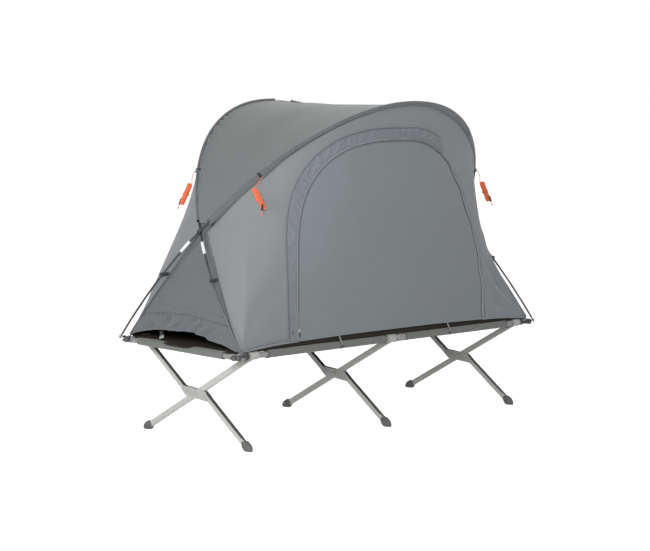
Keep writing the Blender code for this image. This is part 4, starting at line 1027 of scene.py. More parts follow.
def make_flap():
    """The storm flap over the zip: a crumpled band, sewn down outside, with painted highlight and
    shadow strips along its edges.
    """
    columns, rows = 380, 14
    inner = flap_line(FLAP_INNER, columns + 1)
    outer = flap_line(FLAP_START + FLAP_WIDTH, columns + 1)

    def over_zip(x, z, out):
        return on_panel(x, max(z, hem_z(x) - 0.004), FLAP_STANDOFF + out)

    def place(u, v):
        i = int(round((u + 1) / 2 * columns))
        part = (v + 1) / 2
        x, z = inner[i] + (outer[i] - inner[i]) * part * (1 - 0.85 * float(fade(u, 0.93, 1.0)))
        puff = 0.007 * float(fade(u, 0.35, 0.6) * (1 - fade(u, 0.93, 1.0))) * (1 - part) * part * 4
        return over_zip(x, z, 0.0016 * (1 - part) + puff)

    def relief(u, v, p):
        x, z = p[..., 0], p[..., 2]
        over_top = fade(u, 0.36, 0.52) * (1 - fade(u, 0.93, 1.0))
        crumple = np.abs(rumple(x * 1.3, z * 1.3, 0.070, 61, 11))
        sharp = (0.75 - crumple) * (0.0046 - 0.0016 * over_top)
        slanted = np.abs(rumple(x + z * 0.8, z * 2.4, 0.085, 63, 4))
        crossing = np.abs(rumple(x * 1.2 - z * 1.1, z * 1.6, 0.070, 67, 4))
        big = 0.0150 * over_top * (0.60 - 0.6 * slanted - 0.4 * crossing)
        return np.maximum(sharp + big, -0.0009) * (1 - v ** 4)

    flap = cloth_grid(
        "flap_cloth", place, columns, rows, CLOTH_FLAP, relief, (0, -1, 0), (1.95, 0.048),
    )
    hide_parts("storm_flap")
    edges = []
    for name, line, half, material in (
        # A light strip on the rolled inner edge: painted highlight.
        ("flap_inner_highlight", inner, 0.0026, CLOTH_TAPE_AND_HIGHLIGHT),
        # A dark strip on the outer edge: painted shadow under the flap.
        ("flap_outer_shadow", outer, 0.0016, CLOTH_EDGE),
    ):
        points = [over_zip(x, z, 0.0018) for x, z in line[: int(columns * 0.955)]]
        edges.append(sweep(name, points, (0, -1, 0.2), half, 0.0010, material, 10, 0.7))
    x, z = (inner[5] + outer[5]) / 2
    stub(
        "flap_tab", on_panel(x - 0.006, z + 0.012, FLAP_STANDOFF + 0.0040), (0, 0, 1),
        (0, -1, 0.1), both_ways((0.008, 0.006, 0.0009), (0.009, 0.005, 0.0009)), CLOTH_EDGE, 10,
        0.6, slot="webbing",
    )
    return flap, edges


def make_end_panel(end_name, end):
    """The triangle under the crossing: a smooth upper part, a welt, and a rumpled skirt."""
    def place(u, v):
        down = (1 - v) / 2
        seam = seam_point(1, end, down)
        half_width = max(seam.y - SEAM_SETBACK * 0.3, 0.002)
        uneven = float(rumple(np.array(u * 0.34), np.array(0.0), 0.17, 79 + end, 6)) * 0.006
        lift = (END_HEM_RISE * (1 - u * u) + uneven * (1 - u ** 4)) * down ** 3
        billow = END_BILLOW * (1 - u * u) * 4 * down * (1 - down)
        return Vector((seam.x + end * billow, u * half_width, seam.z + lift))

    def relief(u, v, p):
        y, z = p[..., 1], p[..., 2]
        down = (1 - v) / 2
        skirt = fade(down, SKIRT_AT - 0.01, SKIRT_AT + 0.05)
        upper = 0.0016 * rumple(y, z, 0.16, 71 + end) * (1 - skirt)
        above = fade(down, SKIRT_AT - 0.10, SKIRT_AT - 0.06) * (1 - skirt)
        upper = upper + above * 0.0022 * rumple(y * 2.2 + z, z, 0.06, 77 + end, 7)
        hang = 0.0085 * folds(z, y + z * 0.9, 0.095, 73 + end) * skirt
        diagonal = 0.0110 * (0.6 - np.abs(rumple(y + z * 1.5, z, 0.110, 75 + end, 5))) * skirt
        return (upper + hang + diagonal) * (1 - np.abs(u) ** 8) * fade(down, 0.0, 0.08)

    def band(name, down, raise_by, half_wide, half_thick, material, sides, power):
        us = np.linspace(-0.97, 0.97, 110)
        vs = np.full(110, 1 - 2 * down)
        line = np.array([tuple(place(u, v)) for u, v in zip(us, vs)])
        line[:, 0] += end * (relief(us, vs, line) + raise_by)
        return sweep(
            f"{end_name}_end_{name}", line, (end, 0, 0), half_wide, half_thick, material, sides,
            power,
        )

    panel = cloth_grid(
        f"{end_name}_end_cloth", place, 96, 96, CLOTH_END, relief, (end, 0, 0), (0.68, 0.48),
    )
    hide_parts(f"{end_name}_end_panel")
    return panel, [
        band("welt", SKIRT_AT, 0.0014, 0.0026, 0.0012, DARK_BINDING, 10, 0.7),
        band("tuck", SKIRT_AT - 0.075, 0.0008, 0.0014, 0.0009, CLOTH_EDGE, 8, 0.7),
        band("hem", 1.0, 0.0002, 0.0036, 0.0011, CLOTH_END, 10, 0.6),
    ]


def make_seams():
    """A welted seam between each side panel and end panel."""
    downs = np.linspace(0.015, 0.995, 90)
    for corner, side, end in CORNERS:
        line = np.array([tuple(seam_point(side, end, d)) for d in downs])
        line[:, 1] -= side * SEAM_SETBACK * 0.35
        out = np.array([end * 0.75, side * 0.65, 0.15])
        half_wide = 0.0062 + 0.0028 * (1 - downs)
        sweep(f"seam_{corner}", line + out * 0.0006, out, half_wide, 0.0017, CLOTH_END, 12, 0.7)
        sweep(f"seam_welt_{corner}", line + out * 0.0024, out, 0.0016, 0.0016, DARK_BINDING)


def make_hems():
    """Bindings along the side hems, up to the door on the near side, and along the door's edge."""
    last, door = HEM_HALF_LENGTH - 0.004, DOOR_HALF_WIDTH + 0.004
    for name, side, x0, x1 in (
        ("near_0", -1, -last, -door), ("near_1", -1, door, last), ("far_0", 1, -last, last),
    ):
        xs = np.linspace(x0, x1, 60)
        line = [(x, side * HEM_Y, cloth_edge_z(x) + 0.0035) for x in xs]
        sweep(f"hem_{name}", line, (0, side, 0), 0.0040, 0.0011, CLOTH_SIDE, 10, 0.6)
    xs = np.linspace(-DOOR_HALF_WIDTH + 0.006, DOOR_HALF_WIDTH - 0.016, 60)
    line = [on_panel(x, DOOR_BOTTOM - hem_drop(x) + 0.0040, 0.0004) for x in xs]
    sweep(
        "door_hem", line, (0, -1, 0), 0.0040, 0.0011, CLOTH_DOOR, 10, 0.6, body="door",
        slot="door",
    )


def make_zip():
    """The zip's coil in the gap round the door and its tape: dark where the flap leaves it bare."""
    out = (0, -1, 0.1)
    for name, first, last, material, half in (
        ("covered", 0.012, 0.60, CLOTH_EDGE, 0.0016), ("bare", 0.60, 0.998, COIL, 0.0030),
    ):
        coil = []
        tape = []
        for q in np.linspace(first, last, 300):
            x, z = door_edge(q, DOOR_GAP * 0.5 + zip_wander(q))
            low = cloth_edge_z(x) + 0.001
            coil.append(on_panel(x, max(z, low), 0.0010))
            x, z = door_edge(q, 0.0078 + zip_wander(q))
            tape.append(on_panel(x, max(z, low), 0.0008))
        sweep(f"zip_coil_{name}", coil, out, half, 0.0012, material, 8, 0.8, slot="zip")
        sweep(f"zip_tape_{name}", tape, out, 0.0034, 0.0007, CLOTH_TAPE_AND_HIGHLIGHT, 8, 0.6)
    facing = []
    border = []
    for q in np.linspace(0.66, 0.998, 160):
        narrow = 1 - fade(q, 0.66, 0.80)
        x, z = door_edge(q, 0.0140 - 0.004 * narrow + zip_wander(q) * 0.6)
        low = cloth_edge_z(x) + 0.002
        facing.append(on_panel(x, max(z, low), 0.0005))
        x, z = door_edge(q, 0.0225 - 0.008 * narrow + zip_wander(q) * 0.15)
        border.append(on_panel(x, max(z, low), 0.0010))
    widths = np.linspace(0.003, 0.0075, 160)
    sweep("zip_facing", facing, out, widths, 0.0007, CLOTH_TAPE_AND_HIGHLIGHT, 8, 0.6)
    sweep("zip_facing_edge", border, out, 0.0012, 0.0011, CLOTH_EDGE, 8, 0.8)


def make_slider():
    """The zip's runner, the bridge on it and the pull that hangs from the bridge."""
    place = on_panel(-DOOR_HALF_WIDTH - DOOR_GAP / 2, SLIDER_HEIGHT, SLIDER_STANDOFF)
    up = Vector((0.0043, 0.0372, 0.9993))
    out = Vector((0, -1, 0.04))
    where = {"body": "zip_slider", "slot": "zip"}
    runner = stub(
        "zip_runner", place, up, out, (
            (-0.0068, 0.0022, 0.0017), (-0.0060, 0.0030, 0.0017), (-0.002, 0.0034, 0.0017),
            (0.002, 0.0040, 0.0017), (0.006, 0.0038, 0.0017), (0.0068, 0.0026, 0.0017),
        ), STEEL, 12, 0.6, **where,
    )
    turns = np.linspace(0, math.pi, 9)[:, None]
    bridge = np.array(place + out * 0.0012) + 0.0036 * (
        np.cos(turns) * np.array([0, 0, 1]) - np.sin(turns) * np.array([0, 1, 0])
    )
    loop = sweep("zip_bridge", bridge, (1, 0, 0), 0.0007, 0.0010, STEEL, **where)
    pull = stub(
        "zip_pull", place - up * 0.006 + out * 0.0030, -up, out, (
            (0.0, 0.0012, 0.0006), (0.001, 0.0018, 0.0008), (0.004, 0.0021, 0.0008),
            (0.014, 0.0026, 0.0010), (0.0185, 0.0026, 0.0010), (0.0195, 0.0016, 0.0006),
        ), PLASTIC, 12, 0.6, **where,
    )
    joined = merged("zip_slider_parts", [runner, loop, pull], "zip_slider")
    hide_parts("zip_slider")


# Sleeves on the poles
def pocket_direction(side, path):
    """Towards the side panel, square to the pole, for the sleeve's flat side."""
    run = unit(np.gradient(path, axis=0))
    aims = []
    for x, y, z in path:
        share = min(1.0, abs(x) / POLE_HALF_SPAN)
        pull = 0.2 + (1.3 * float(fade(share, 0.30, 0.80)) if x * side < 0 else 0.0)
        aims.append((x * 0.97 - x - np.sign(x) * share * pull, side * HEM_Y - y, HEM_Z - z))
    aims = unit(aims)
    return unit(aims - run * (aims * run).sum(axis=1, keepdims=True)), run


def sleeve_width(side, path):
    """Half of the sleeve's flat width: broad low down and round the shoulders, drawn in between."""
    x, z = path[:, 0], path[:, 2]
    mouth, tab = pole_at(side, CROSS_RISE + SLEEVE_START).z, pole_at(side, GUY_RISE).z
    low = 1 - fade(z, tab - 0.01, tab + 0.10)
    near_mouth = 1 - fade(z, mouth, mouth + 0.05)
    shoulder = fade(z, tab, tab + 0.10) * (1 - fade(np.abs(x), 0.10, 0.32))
    broad, narrow = 0.0165, 0.0082 if side < 0 else 0.0125
    other_half = np.where(x * side < 0, 1.0, 0.0)
    upper = narrow + (broad - narrow) * other_half * fade(np.abs(x), 0.02, 0.30)
    return upper + (broad - upper) * low - 0.0022 * near_mouth + 0.001 * shoulder


def make_sleeve(name, side, path, replaced):
    """A fabric sleeve: a flat pocket round the pole, gathered into slanting puckers."""
    sides = 24
    path = even_steps(path, int(distances(path)[-1] / 0.0026))
    at = distances(path)
    down, run = pocket_direction(side, path)
    wide = sleeve_width(side, path)
    thick = 0.0088 - 0.0010 * fade(wide, 0.009, 0.016)
    centre = path + down * (wide - 0.0088)[:, None] * 0.80
    thin = np.cross(run, down)
    around = np.sin(2 * math.pi * np.arange(sides) / sides)
    spread = rumple(at, at * 0, 0.09, 85 + side, 5) * 0.35
    slant = 2 * math.pi * ((at / 0.0150 + spread)[:, None] + 1.1 * around[None, :])
    bend = fade(np.abs(path[:, 0]), 0.25, 0.5) * fade(path[:, 2], 0.95, 1.1)
    gather = 0.25 + 0.9 * bend * fade(rumple(at, at * 0, 0.35, 83 + side, 5), -0.8, 0.6)
    off_ends = fade(at, 0.0, 0.02) * fade(at[-1] - at, 0.0, 0.02)
    relief = (0.55 - np.abs(np.sin(slant / 2))) * 0.0036 * (gather * off_ends)[:, None]
    sleeve = sweep(
        name, centre, thin, wide, thick, CLOTH_SLEEVE, sides, 0.9, wall=CLOTH_THICKNESS,
        relief=relief,
    )
    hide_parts(replaced)
    for i, edge in enumerate((0, -1)):
        shape = [
            (d, wide[edge] + step, thick[edge] + step)
            for d, step in ((-0.0010, 0), (0, 0.0008), (0.002, 0.0008), (0.004, 0.0008), (0.005, 0))
        ]
        stub(
            f"{name}_cuff_{i}", centre[edge], run[edge] * (1 if edge == 0 else -1), thin[edge],
            shape, CLOTH_EDGE, sides, 0.9, wall=0.0010,
        )
    lower = centre + down * (wide - 0.0004)[:, None]
    upper = centre - down * (wide - 0.0002)[:, None]
    sweep(f"{name}_seam", lower[3:-3], thin[3:-3], 0.0013, 0.0015, DARK_BINDING)
    # A light strip along the sleeve's upper edge: painted highlight.
    sweep(f"{name}_welt", upper[3:-3], thin[3:-3], 0.0008, 0.0010, CLOTH_TAPE_AND_HIGHLIGHT)
    return sleeve


def make_sleeves():
    start = CROSS_RISE + SLEEVE_START
    near = make_sleeve("near_sleeve", -1, pole_path(-1, start), "near_pole_sleeve")
    far = pole_path(1, start)
    broken_at, taken_up = SLEEVE_BREAK
    left = make_sleeve(
        "far_sleeve_left", 1, far[far[:, 0] <= broken_at], "far_pole_sleeve_left",
    )
    right = make_sleeve(
        "far_sleeve_right", 1, far[far[:, 0] >= taken_up], "far_pole_sleeve_right",
    )


def make_guy_tabs():
    """A folded webbing loop on each sleeve, which the cord is tied to."""
    reach = TAB_LENGTH - 0.001
    shape = (
        (-0.002, 0.0060, 0.0015), (0.004, 0.0060, 0.0013), (reach * 0.85, 0.0058, 0.0016),
        (reach, 0.0046, 0.0009),
    )
    for corner, side, end in CORNERS:
        stub(
            f"guy_tab_{corner}", guy_tab_place(side, end), guy_tab_direction(side, end),
            (0, 0, 1), shape, WEB_BLACK, 12, 0.6, slot="webbing",
        )
        path = pole_path(side, GUY_RISE - 0.02, 500)
        below, spot, above = (np.array(pole_at(side, GUY_RISE + d, end)) for d in (-0.004, 0, 0.004))
        closest = np.argsort(np.linalg.norm(path - spot, axis=1))[:3]
        run = unit(above - below)
        a = unit(np.cross(run, [0, 0, 1.0]))
        outs = circle(a, np.cross(run, a))
        sweep(
            f"guy_band_{corner}", path[closest].mean(axis=0) + outs * (SLEEVE_RADIUS + 0.0022),
            outs, 0.0055, 0.0010, WEB_BLACK, 8, 0.6, slot="webbing", closed=True,
        )


# Poles and their fittings
def make_ferrules():
    """Bright crimped tubes over the poles' joints."""
    shape = np.array(both_ways(
        (0.010, 0.0067), (0.0235, 0.0066), (0.025, 0.0068), (0.0285, 0.0068), (0.030, 0.0050),
    ))
    for side_name, side in SIDES:
        path = pole_path(side, 0.0, 1600)
        at = distances(path)
        for i, middle in enumerate(np.linspace(FIRST_FERRULE, at[-1] - FIRST_FERRULE, FERRULES)):
            sweep(
                f"ferrule_{side_name}_{i}", sampled(path, at, middle + shape[:, 0]), (0, 0.3, 1),
                shape[:, 1], shape[:, 1], FERRULE, 16, slot="fitting",
            )


def make_clip_webs():
    """Webbing round each pole clip, out to the seam that it holds."""
    for corner, side, end in CORNERS:
        clip = pole_at(side, CLIP_RISE, end)
        crossing, foot = seam_point(-side, end, 0), seam_point(-side, end, 1)
        seam = seam_point(-side, end, (crossing.z - clip.z) / (crossing.z - foot.z))
        run = (seam - clip).normalized()
        first = clip - run * 0.0105
        points = [first, first + run * 0.002, clip + run * 0.004, clip.lerp(seam, 0.6),
                  seam - run * 0.001]
        sweep(
            f"clip_web_{corner}", points, run.cross(Vector((0, 0, 1))),
            [0.0060, 0.0074, 0.0080, 0.0078, 0.0070], [0.0086, 0.0094, 0.0092, 0.0022, 0.0018],
            WEB_BLACK, 16, 0.7, slot="webbing",
        )


def make_gussets():
    """Fabric from the roof's point down to the panels' corners, behind the crossing poles."""
    for end_name, end in ENDS:
        tops, feet = [], []
        for side in (-1, 1):
            x = abs(pole_at(0, CROSS_RISE + SLEEVE_START + 0.022).x) * end
            point = arch_point(side, x) + inset_from_pole(side, x, Vector((0, -side, 0)), 0.004)
            tops.append(point - Vector((end * 0.006, 0, 0)))
            feet.append(side_panel_point(side, end, 0.985) - Vector((end * 0.001, 0, 0)))

        def place(u, v):
            across, down = (u + 1) / 2, (1 - v) / 2
            top, foot = (pair[0].lerp(pair[1], across) for pair in (tops, feet))
            bulge = 0.006 * (1 - u * u) * 4 * down * (1 - down) - 0.004 * down * (1 - down)
            return top.lerp(foot, down) + Vector((end * bulge, 0, 0))

        def relief(u, v, p):
            return 0.0012 * rumple(p[..., 1], p[..., 2], 0.03, 111 + end)

        gusset = cloth_grid(
            f"{end_name}_gusset", place, 16, 16, CLOTH_END, relief, (end, 0, 0), (0.10, 0.07),
        )
        for side_name, side in SIDES:
            edge = np.array([tuple(place(side * 0.985, v)) for v in np.linspace(-0.96, 0.9, 14)])
            sweep(
                f"{end_name}_gusset_seam_{side_name}", edge + np.array([end * 0.0016, 0, 0]),
                (end, 0, 0), 0.0012, 0.0008, CLOTH_EDGE, 8, 0.8,
            )


def make_crossing_ties():
    """An elastic round both poles where they cross, which runs on to the far sleeve's mouth."""
    for end_name, end in ENDS:
        a, b = (np.array(pole_at(side, CROSS_RISE, end)) for side in (-1, 1))
        centre = (a + b) / 2
        half = np.linalg.norm(a - b) / 2 + POLE_RADIUS + 0.0016
        for i, tilt in enumerate((0.9, -0.9)):
            across = np.array([0, math.cos(tilt), -math.sin(tilt)])
            across *= (POLE_RADIUS + 0.0020 + 0.0016 * i) * 1.25
            outs = circle((end * half, 0, 0), across, 28)
            sweep(
                f"crossing_tie_{end_name}_{i}", centre + outs, outs, 0.0014, 0.0011, WEB_BLACK,
                slot="webbing", closed=True,
            )
        mouth = np.array(pole_at(end, CROSS_RISE + SLEEVE_START + 0.004, end))
        outwards = np.array([end * 0.7, end * 0.7, 0.1])
        toggle = mouth + outwards * 0.0120
        hook = [
            centre + np.array([end * half, 0, 0.001]),
            centre + np.array([end * (half + 0.001), end * 0.010, 0.012]),
            mouth + outwards * 0.0125 + np.array([0, 0, -0.014]), toggle,
        ]
        sweep(
            f"crossing_elastic_{end_name}", smooth_route(hook, 6), (end, 0, 0), 0.0015, 0.0015,
            WEB_BLACK, slot="webbing",
        )
        stub(
            f"crossing_toggle_{end_name}", toggle, (0, 0, 1), (end, 0, 0), (
                (-0.005, 0.002, 0.0015), (-0.004, 0.0042, 0.0030), (0.0, 0.0048, 0.0034),
                (0.004, 0.0042, 0.0030), (0.005, 0.002, 0.0015),
            ), PLASTIC, slot="webbing",
        )


# Bed
def make_sling():
    """The bed's sheet, its sleeves round the rails and the end bars, and their stitching."""
    def place(u, v):
        sag = 0.0021 * (1 - u * u) * (1 - v * v)
        return Vector((u * SLING_HALF_LENGTH, v * SLING_HALF_WIDTH, SLING_Z - sag))

    def relief(u, v, p):
        return 0.0005 * rumple(p[..., 0], p[..., 1], 0.2, 91) * (1 - v ** 6)

    web = cloth_grid(
        "sling_cloth", place, 60, 24, CLOTH_SLING, relief, (0, 0, 1), (1.81, 0.634), None,
        0.0010,
    )
    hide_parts("bed_sling")
    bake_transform(web)
    cuff_shape = (
        (0.0, 0.0153, 0.0149), (0.001, 0.0159, 0.0155), (0.006, 0.0159, 0.0155),
        (0.007, 0.0153, 0.0149),
    )
    for corner, side, end in CORNERS:
        where = {"body": SIDE_BODY[side], "slot": "sling"}
        xs = end * np.linspace(*RAIL_SLEEVE, 70)
        wobble = 0.0003 * rumple(xs, xs * 0, 0.03, 93 + side + end, 5)
        line = np.stack([xs, np.full(70, side * HALF_RAIL), np.full(70, RAIL_HEIGHT)], axis=1)
        sweep(
            f"rail_sleeve_{corner}", line, (0, side, 0), 0.0152 + wobble, 0.0148 + wobble,
            CLOTH_SLING, 20, 0.85, wall=CLOTH_THICKNESS, **where,
        )
        sweep(
            f"rail_seam_{corner}", line + np.array([0, -side * 0.0152, 0.0105]), (0, 0, 1),
            0.0060, 0.0010, CLOTH_SLING, 8, 0.6, **where,
        )
        for i, x in enumerate(RAIL_SLEEVE):
            stub(
                f"rail_cuff_{corner}_{i}", (end * x, side * HALF_RAIL, RAIL_HEIGHT),
                (end if i == 0 else -end, 0, 0), (0, side, 0), cuff_shape, CLOTH_CUFF, 20, 0.85,
                wall=CLOTH_THICKNESS, **where,
            )
    for end_name, end in ENDS:
        ys = np.linspace(-BAR_SLEEVE_HALF, BAR_SLEEVE_HALF, 50)
        line = np.stack([np.full(50, end * END_BAR_X), ys, np.full(50, RAIL_HEIGHT)], axis=1)
        wobble = 0.0003 * rumple(ys, ys * 0, 0.03, 97 + end, 5)
        sleeve = sweep(
            f"bar_sleeve_{end_name}", line, (end, 0, 0), 0.0142 + wobble, 0.0138 + wobble,
            CLOTH_SLING, 20, 0.85, "sling", None, wall=CLOTH_THICKNESS,
        )
        tongue = cloth_grid(
            f"bar_tongue_{end_name}",
            lambda u, v: Vector((end * (0.899 + 0.031 * (u + 1) / 2), v * 0.266, SLING_Z)),
            4, 20, CLOTH_SLING, flat=(0.03, 0.53), body=None,
        )
        for obj in (sleeve, tongue):
            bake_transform(obj)


def make_floor():
    """The tent's black floor: flat over the bed, with its long edges turned up inside the hems."""
    def place(u, v):
        x = u * FLOOR_HALF_LENGTH
        over_sleeve = float(fade(abs(x), 0.055, 0.066) * (1 - fade(abs(x), 0.775, 0.80)))
        edge_z = 0.4071 + 0.0022 * over_sleeve
        reach = abs(v)
        turned = float(fade(reach, 0.82, 0.90))
        y = math.copysign(FLOOR_HALF_WIDTH * min(1.0, reach / 0.94), v)
        z = FLOOR_Z - (FLOOR_Z - edge_z) * turned
        z += (hem_z(x) - 0.0015 - edge_z) * max(0.0, (reach - 0.94) / 0.06)
        z -= 0.0050 * float(fade(abs(u), 0.975, 1.0)) * (1 - turned)
        return Vector((x, y, z))

    def relief(u, v, p):
        flat = 1 - fade(np.abs(v), 0.78, 0.86)
        return 0.0012 * (1 - np.abs(rumple(p[..., 0], p[..., 1], 0.16, 101))) * flat

    floor = cloth_grid(
        "floor_cloth", place, 160, 90, CLOTH_FLOOR, relief, (0, 0, 1), (1.83, 0.72),
    )
    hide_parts("tent_floor")
    lips = []
    for end_name, end in ENDS:
        for side_name, side in SIDES:
            line = [(end * 0.9135, side * y, 0.4005) for y in np.linspace(0.256, 0.3255, 12)]
            lips.append(sweep(
                f"floor_lip_{side_name}_{end_name}", line, (end, 0, 0), 0.0085, 0.0006,
                CLOTH_FLOOR, 8, 0.6, "floor", None,
            ))

        # A dark patch wrapped over the top of each end bar, in the floor's cloth material.
        def tab_place(u, v):
            over = math.radians(100 - 80 * max(0.0, v) * (1 - 0.5 * u ** 6))
            x = END_BAR_X + 0.0156 * math.cos(over) - 0.026 * max(0.0, -v)
            z = RAIL_HEIGHT + 0.0156 * math.sin(over) - 0.0012 * max(0.0, -v)
            return Vector((end * x, -end * (0.01 + 0.09 * u), z))

        lips.append(cloth_grid(
            f"bar_dark_patch_{end_name}", tab_place, 24, 16, CLOTH_FLOOR, flat=(0.18, 0.048),
            body=None,
        ))
    for obj in (floor, *lips):
        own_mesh(obj)
    for lip in lips:
        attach(lip, "tent")
    return floor, lips


def make_hem_ties():
    """Grey tapes sewn inside the hem that go over the rail and hook under its sleeve."""
    reach = 0.0176
    for corner, side, end in CORNERS:
        x = end * HEM_TIE_X
        y = side * HALF_RAIL
        route = smooth_route([
            (x - 0.002, side * 0.3435, 0.4400), (x, side * 0.3470, 0.4270),
            (x + 0.003, side * 0.3535, 0.4125), (x + 0.005, y + side * reach, 0.4020),
            (x + 0.006, y + side * reach, 0.3900),
            (x + 0.006, y + side * 0.0155, RAIL_HEIGHT - 0.0105),
            (x + 0.006, y + side * 0.0105, RAIL_HEIGHT - 0.0150),
        ], 5)
        sweep(
            f"hem_tie_{corner}", route, route - np.array([x, y, RAIL_HEIGHT]), 0.0055, 0.0010,
            WEB_GREY, 8, 0.6, slot="webbing",
        )
        stub(
            f"hem_buckle_{corner}", (x + 0.006, y + side * (reach + 0.0010), RAIL_HEIGHT - 0.004),
            (0, 0, 1), (0, side, 0), both_ways((0.004, 0.0062, 0.0016), (0.005, 0.0052, 0.0010)),
            PLASTIC, 12, 0.5, slot="webbing",
        )


def make_corner_straps():
    """At each corner: a band round the rail, a web with a ladder buckle, and a ring for the tip."""
    buckle_shape = both_ways(
        (0.002, 0.0072, 0.0018), (0.0055, 0.0078, 0.0024), (0.0065, 0.0060, 0.0012),
    )
    for corner, side, end in CORNERS:
        path = pole_path(-side)
        tip, above = (path[0], path[4]) if end < 0 else (path[-1], path[-5])
        lower = unit(tip - above)
        eye = tip - lower * TIP_LENGTH * 0.5
        middle = np.array([end * BAND_X, side * HALF_RAIL, RAIL_HEIGHT])
        first = middle + np.array([0, side * 0.0141, 0])
        run = unit(eye - first)
        last = eye - unit(run - lower * (run @ lower)) * (RING_RADIUS - 0.0007)
        outs = circle((0, 1, 0), (0, 0, 1))
        sweep(
            f"strap_band_{corner}", middle + outs * 0.0138, outs, 0.0075, 0.0008, WEB_BLACK, 8,
            0.6, "webbing", SIDE_BODY[side], closed=True,
        )
        bow = np.array([0, side * 0.001, 0])
        line = [first, first * 0.7 + last * 0.3 + bow, first * 0.3 + last * 0.7 + bow, last]
        web = sweep(
            f"strap_web_{corner}", smooth_route(line, 6), (0, side, 0.3), 0.0054, 0.0009,
            WEB_BLACK, 8, 0.6, slot="webbing",
        )
        buckle = stub(
            f"strap_buckle_{corner}", (first + last) / 2 + np.array([0, side * 0.0012, 0]),
            unit(last - first), (0, side, 0.3), buckle_shape, PLASTIC, 14, 0.5, slot="webbing",
        )
        a = unit(np.cross(lower, [1.0, 0, 0]))
        ring = sweep(
            f"strap_ring_{corner}", eye + circle(a, np.cross(lower, a)) * RING_RADIUS, lower,
            0.0014, 0.0014, PLASTIC, 10, slot="webbing", closed=True,
        )
        joined = merged(f"corner_web_{corner}", [web, buckle, ring], "tent")
        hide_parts(f"corner_strap_{corner}")


def make_caps():
    """Rubber caps that keep the end bars on their pins, and rounded caps in the bars' open ends."""
    pin_cap = (
        (0.9388, 0.0092), (0.9394, 0.0112), (0.9510, 0.0118), (0.9536, 0.0108),
        (0.9550, 0.0066), (0.9620, 0.0056), (0.9700, 0.0030), (0.9722, 0.0008),
    )
    for corner, side, end in CORNERS:
        stub(
            f"pin_cap_{corner}", (0, side * HALF_RAIL, RAIL_HEIGHT), (end, 0, 0), (0, 0, 1),
            pin_cap, CAP, 20, 0.92, slot="foot", body=SIDE_BODY[side],
        )
    bar_cap = (
        (0.3520, 0.0112), (0.3524, 0.0122), (0.3590, 0.0124), (0.3612, 0.0112),
        (0.3626, 0.0080), (0.3630, 0.0020),
    )
    for side_name, side in SIDES:
        for end_name, end in ENDS:
            stub(
                f"bar_cap_{end_name}_{side_name}", (end * END_BAR_X, 0, RAIL_HEIGHT),
                (0, side, 0), (0, 0, 1), bar_cap, CAP, 20, 0.9, slot="foot",
                body=f"end_bar_{end_name}",
            )


def make_hinge_gaps():
    """A dark ring in the gap between each middle hinge's clamp and collar: painted shade."""
    shape = ((-0.0012, 0.0165), (-0.0010, 0.0186), (0.0020, 0.0186), (0.0022, 0.0165))
    for side_name, side in SIDES:
        stub(
            f"hinge_gap_shade_{side_name}", (0, side * HALF_RAIL, RAIL_HEIGHT), (1, 0, 0), (0, 0, 1),
            shape, CAP, 24, slot="fitting", body=f"{side_name}_side",
        )


def make_leg_details():
    """The half legs' side faces, each under a near-black strip that is painted shade, and their
    rivets.
    """
    rivet = ((-0.0004, 0.0036), (0.0006, 0.0036), (0.0014, 0.0026), (0.0018, 0.0008))
    half = np.full(12, LEG_THICKNESS / 2 + 0.00015)
    half[0] = half[-1] = LEG_THICKNESS / 2 - 0.001
    steps = np.linspace(0, 1, 12)[:, None]
    for leg, x in zip(LEGS, LEG_X):
        pivot = np.array([x, 0, PIVOT_Z])
        for part, target, short in (
            ("upper", np.array([x, HALF_RAIL, RAIL_HEIGHT]), 0.046),
            ("lower", np.array([x, -HALF_FOOT, 0]), 0.052),
        ):
            way = unit(target - pivot)
            start = pivot + way * 0.045 + np.array([0, way[2], -way[1]]) * 0.030
            way = unit(target - start)
            face = np.array([0, -way[2], way[1]])
            face = face if face[2] > 0 else -face
            first = start + way * 0.002
            line = first + (target - way * short - first) * steps + face * (LEG_WIDTH / 2 - 0.0036)
            # A near-black strip over each half leg's side face: painted shade.
            sweep(
                f"{part}_leg_channel_{leg}", line, face, half, 0.0040, CHANNEL_SHADE, 16, 0.6,
                "leg_tube", "far_side",
            )
            for along in (0.050, 0.118):
                for mark, out in (("a", -1), ("b", 1)):
                    at = start + way * along + np.array([out * LEG_THICKNESS / 2, 0, 0])
                    stub(
                        f"{part}_leg_rivet_{leg}_{int(along * 1000)}_{mark}", at, (out, 0, 0),
                        (0, 0, 1), rivet, STEEL, slot="fitting", body="far_side",
                    )


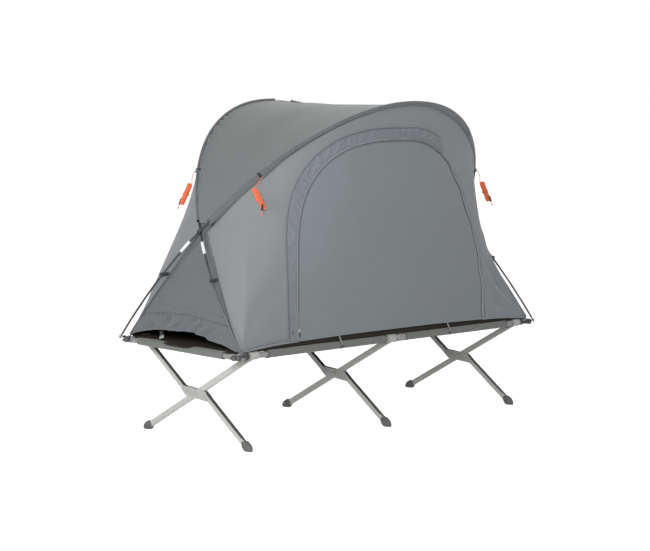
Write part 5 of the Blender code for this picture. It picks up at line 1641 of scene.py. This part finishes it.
def make_end_straps():
    """A short web with a light buckle from each skirt down to the bed's end."""
    buckle_shape = both_ways(
        (0.002, 0.0105, 0.0016), (0.0075, 0.0115, 0.0022), (0.0085, 0.0090, 0.0012),
    )
    steps = (
        (0.903, -0.012, 0.036), (0.905, -0.008, 0.020), (0.912, 0, 0.0065), (0.924, 0.006, 0.0040),
        (0.9335, 0.010, 0.0012),
    )
    for end_name, end in ENDS:
        route = smooth_route([(end * x, end * (y - 0.150), FLOOR_Z + z) for x, y, z in steps], 5)
        out = (end * 0.5, 0, 0.8)
        sweep(
            f"end_strap_{end_name}", route, out, 0.0085, 0.0009, WEB_BLACK, 8, 0.6,
            slot="webbing",
        )
        stub(
            f"end_strap_buckle_{end_name}", route[9] + np.array([0, 0, 0.0012]),
            unit(route[11] - route[7]), out, buckle_shape, PLASTIC_GREY, 14, 0.5, slot="webbing",
        )


def dress(material, *names):
    for name in names:
        for slot in NODES[name].material_slots:
            slot.material = material


def dress_frame():
    for side_name, _ in SIDES:
        dress(PAINT_RAIL, *(f"{side_name}_rail_{end_name}" for end_name, _ in ENDS))
        dress(PAINT_FITTING, *(f"{side_name}_bracket_{end_name}" for end_name, _ in ENDS))
        dress(PAINT_FITTING, f"{side_name}_middle_hinge")
        dress(CAP, *(f"{side_name}_end_plug_{end_name}" for end_name, _ in ENDS))
        dress(POLE, f"{side_name}_arch_pole")
        dress(RUBBER, *(f"{side_name}_foot_{leg}" for leg in LEGS))
    for leg in LEGS:
        dress(PAINT_LEG, f"straight_leg_{leg}", f"upper_half_leg_{leg}", f"lower_half_leg_{leg}")
        dress(PAINT_FITTING, f"saddle_{leg}", f"pivot_bolt_{leg}")
    dress(PAINT_RAIL, "end_bar_left", "end_bar_right")


make_camera()
make_light()
make_stage()
make_cords()
roof_cloth = make_roof()
far_cloth = make_far_panel()
near_cloth = make_near_panel()
door_cloth = make_door()
flap_cloth, flap_edges = make_flap()
for end_name, end in ENDS:
    end_cloth, trims = make_end_panel(end_name, end)
    for obj in (end_cloth, *trims):
        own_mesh(obj)
make_seams()
make_hems()
make_zip()
make_slider()
make_sleeves()
make_guy_tabs()
make_ferrules()
make_clip_webs()
make_gussets()
make_crossing_ties()
make_sling()
floor_cloth, floor_lips = make_floor()
make_hem_ties()
make_corner_straps()
make_caps()
make_hinge_gaps()
make_leg_details()
make_end_straps()
dress_frame()
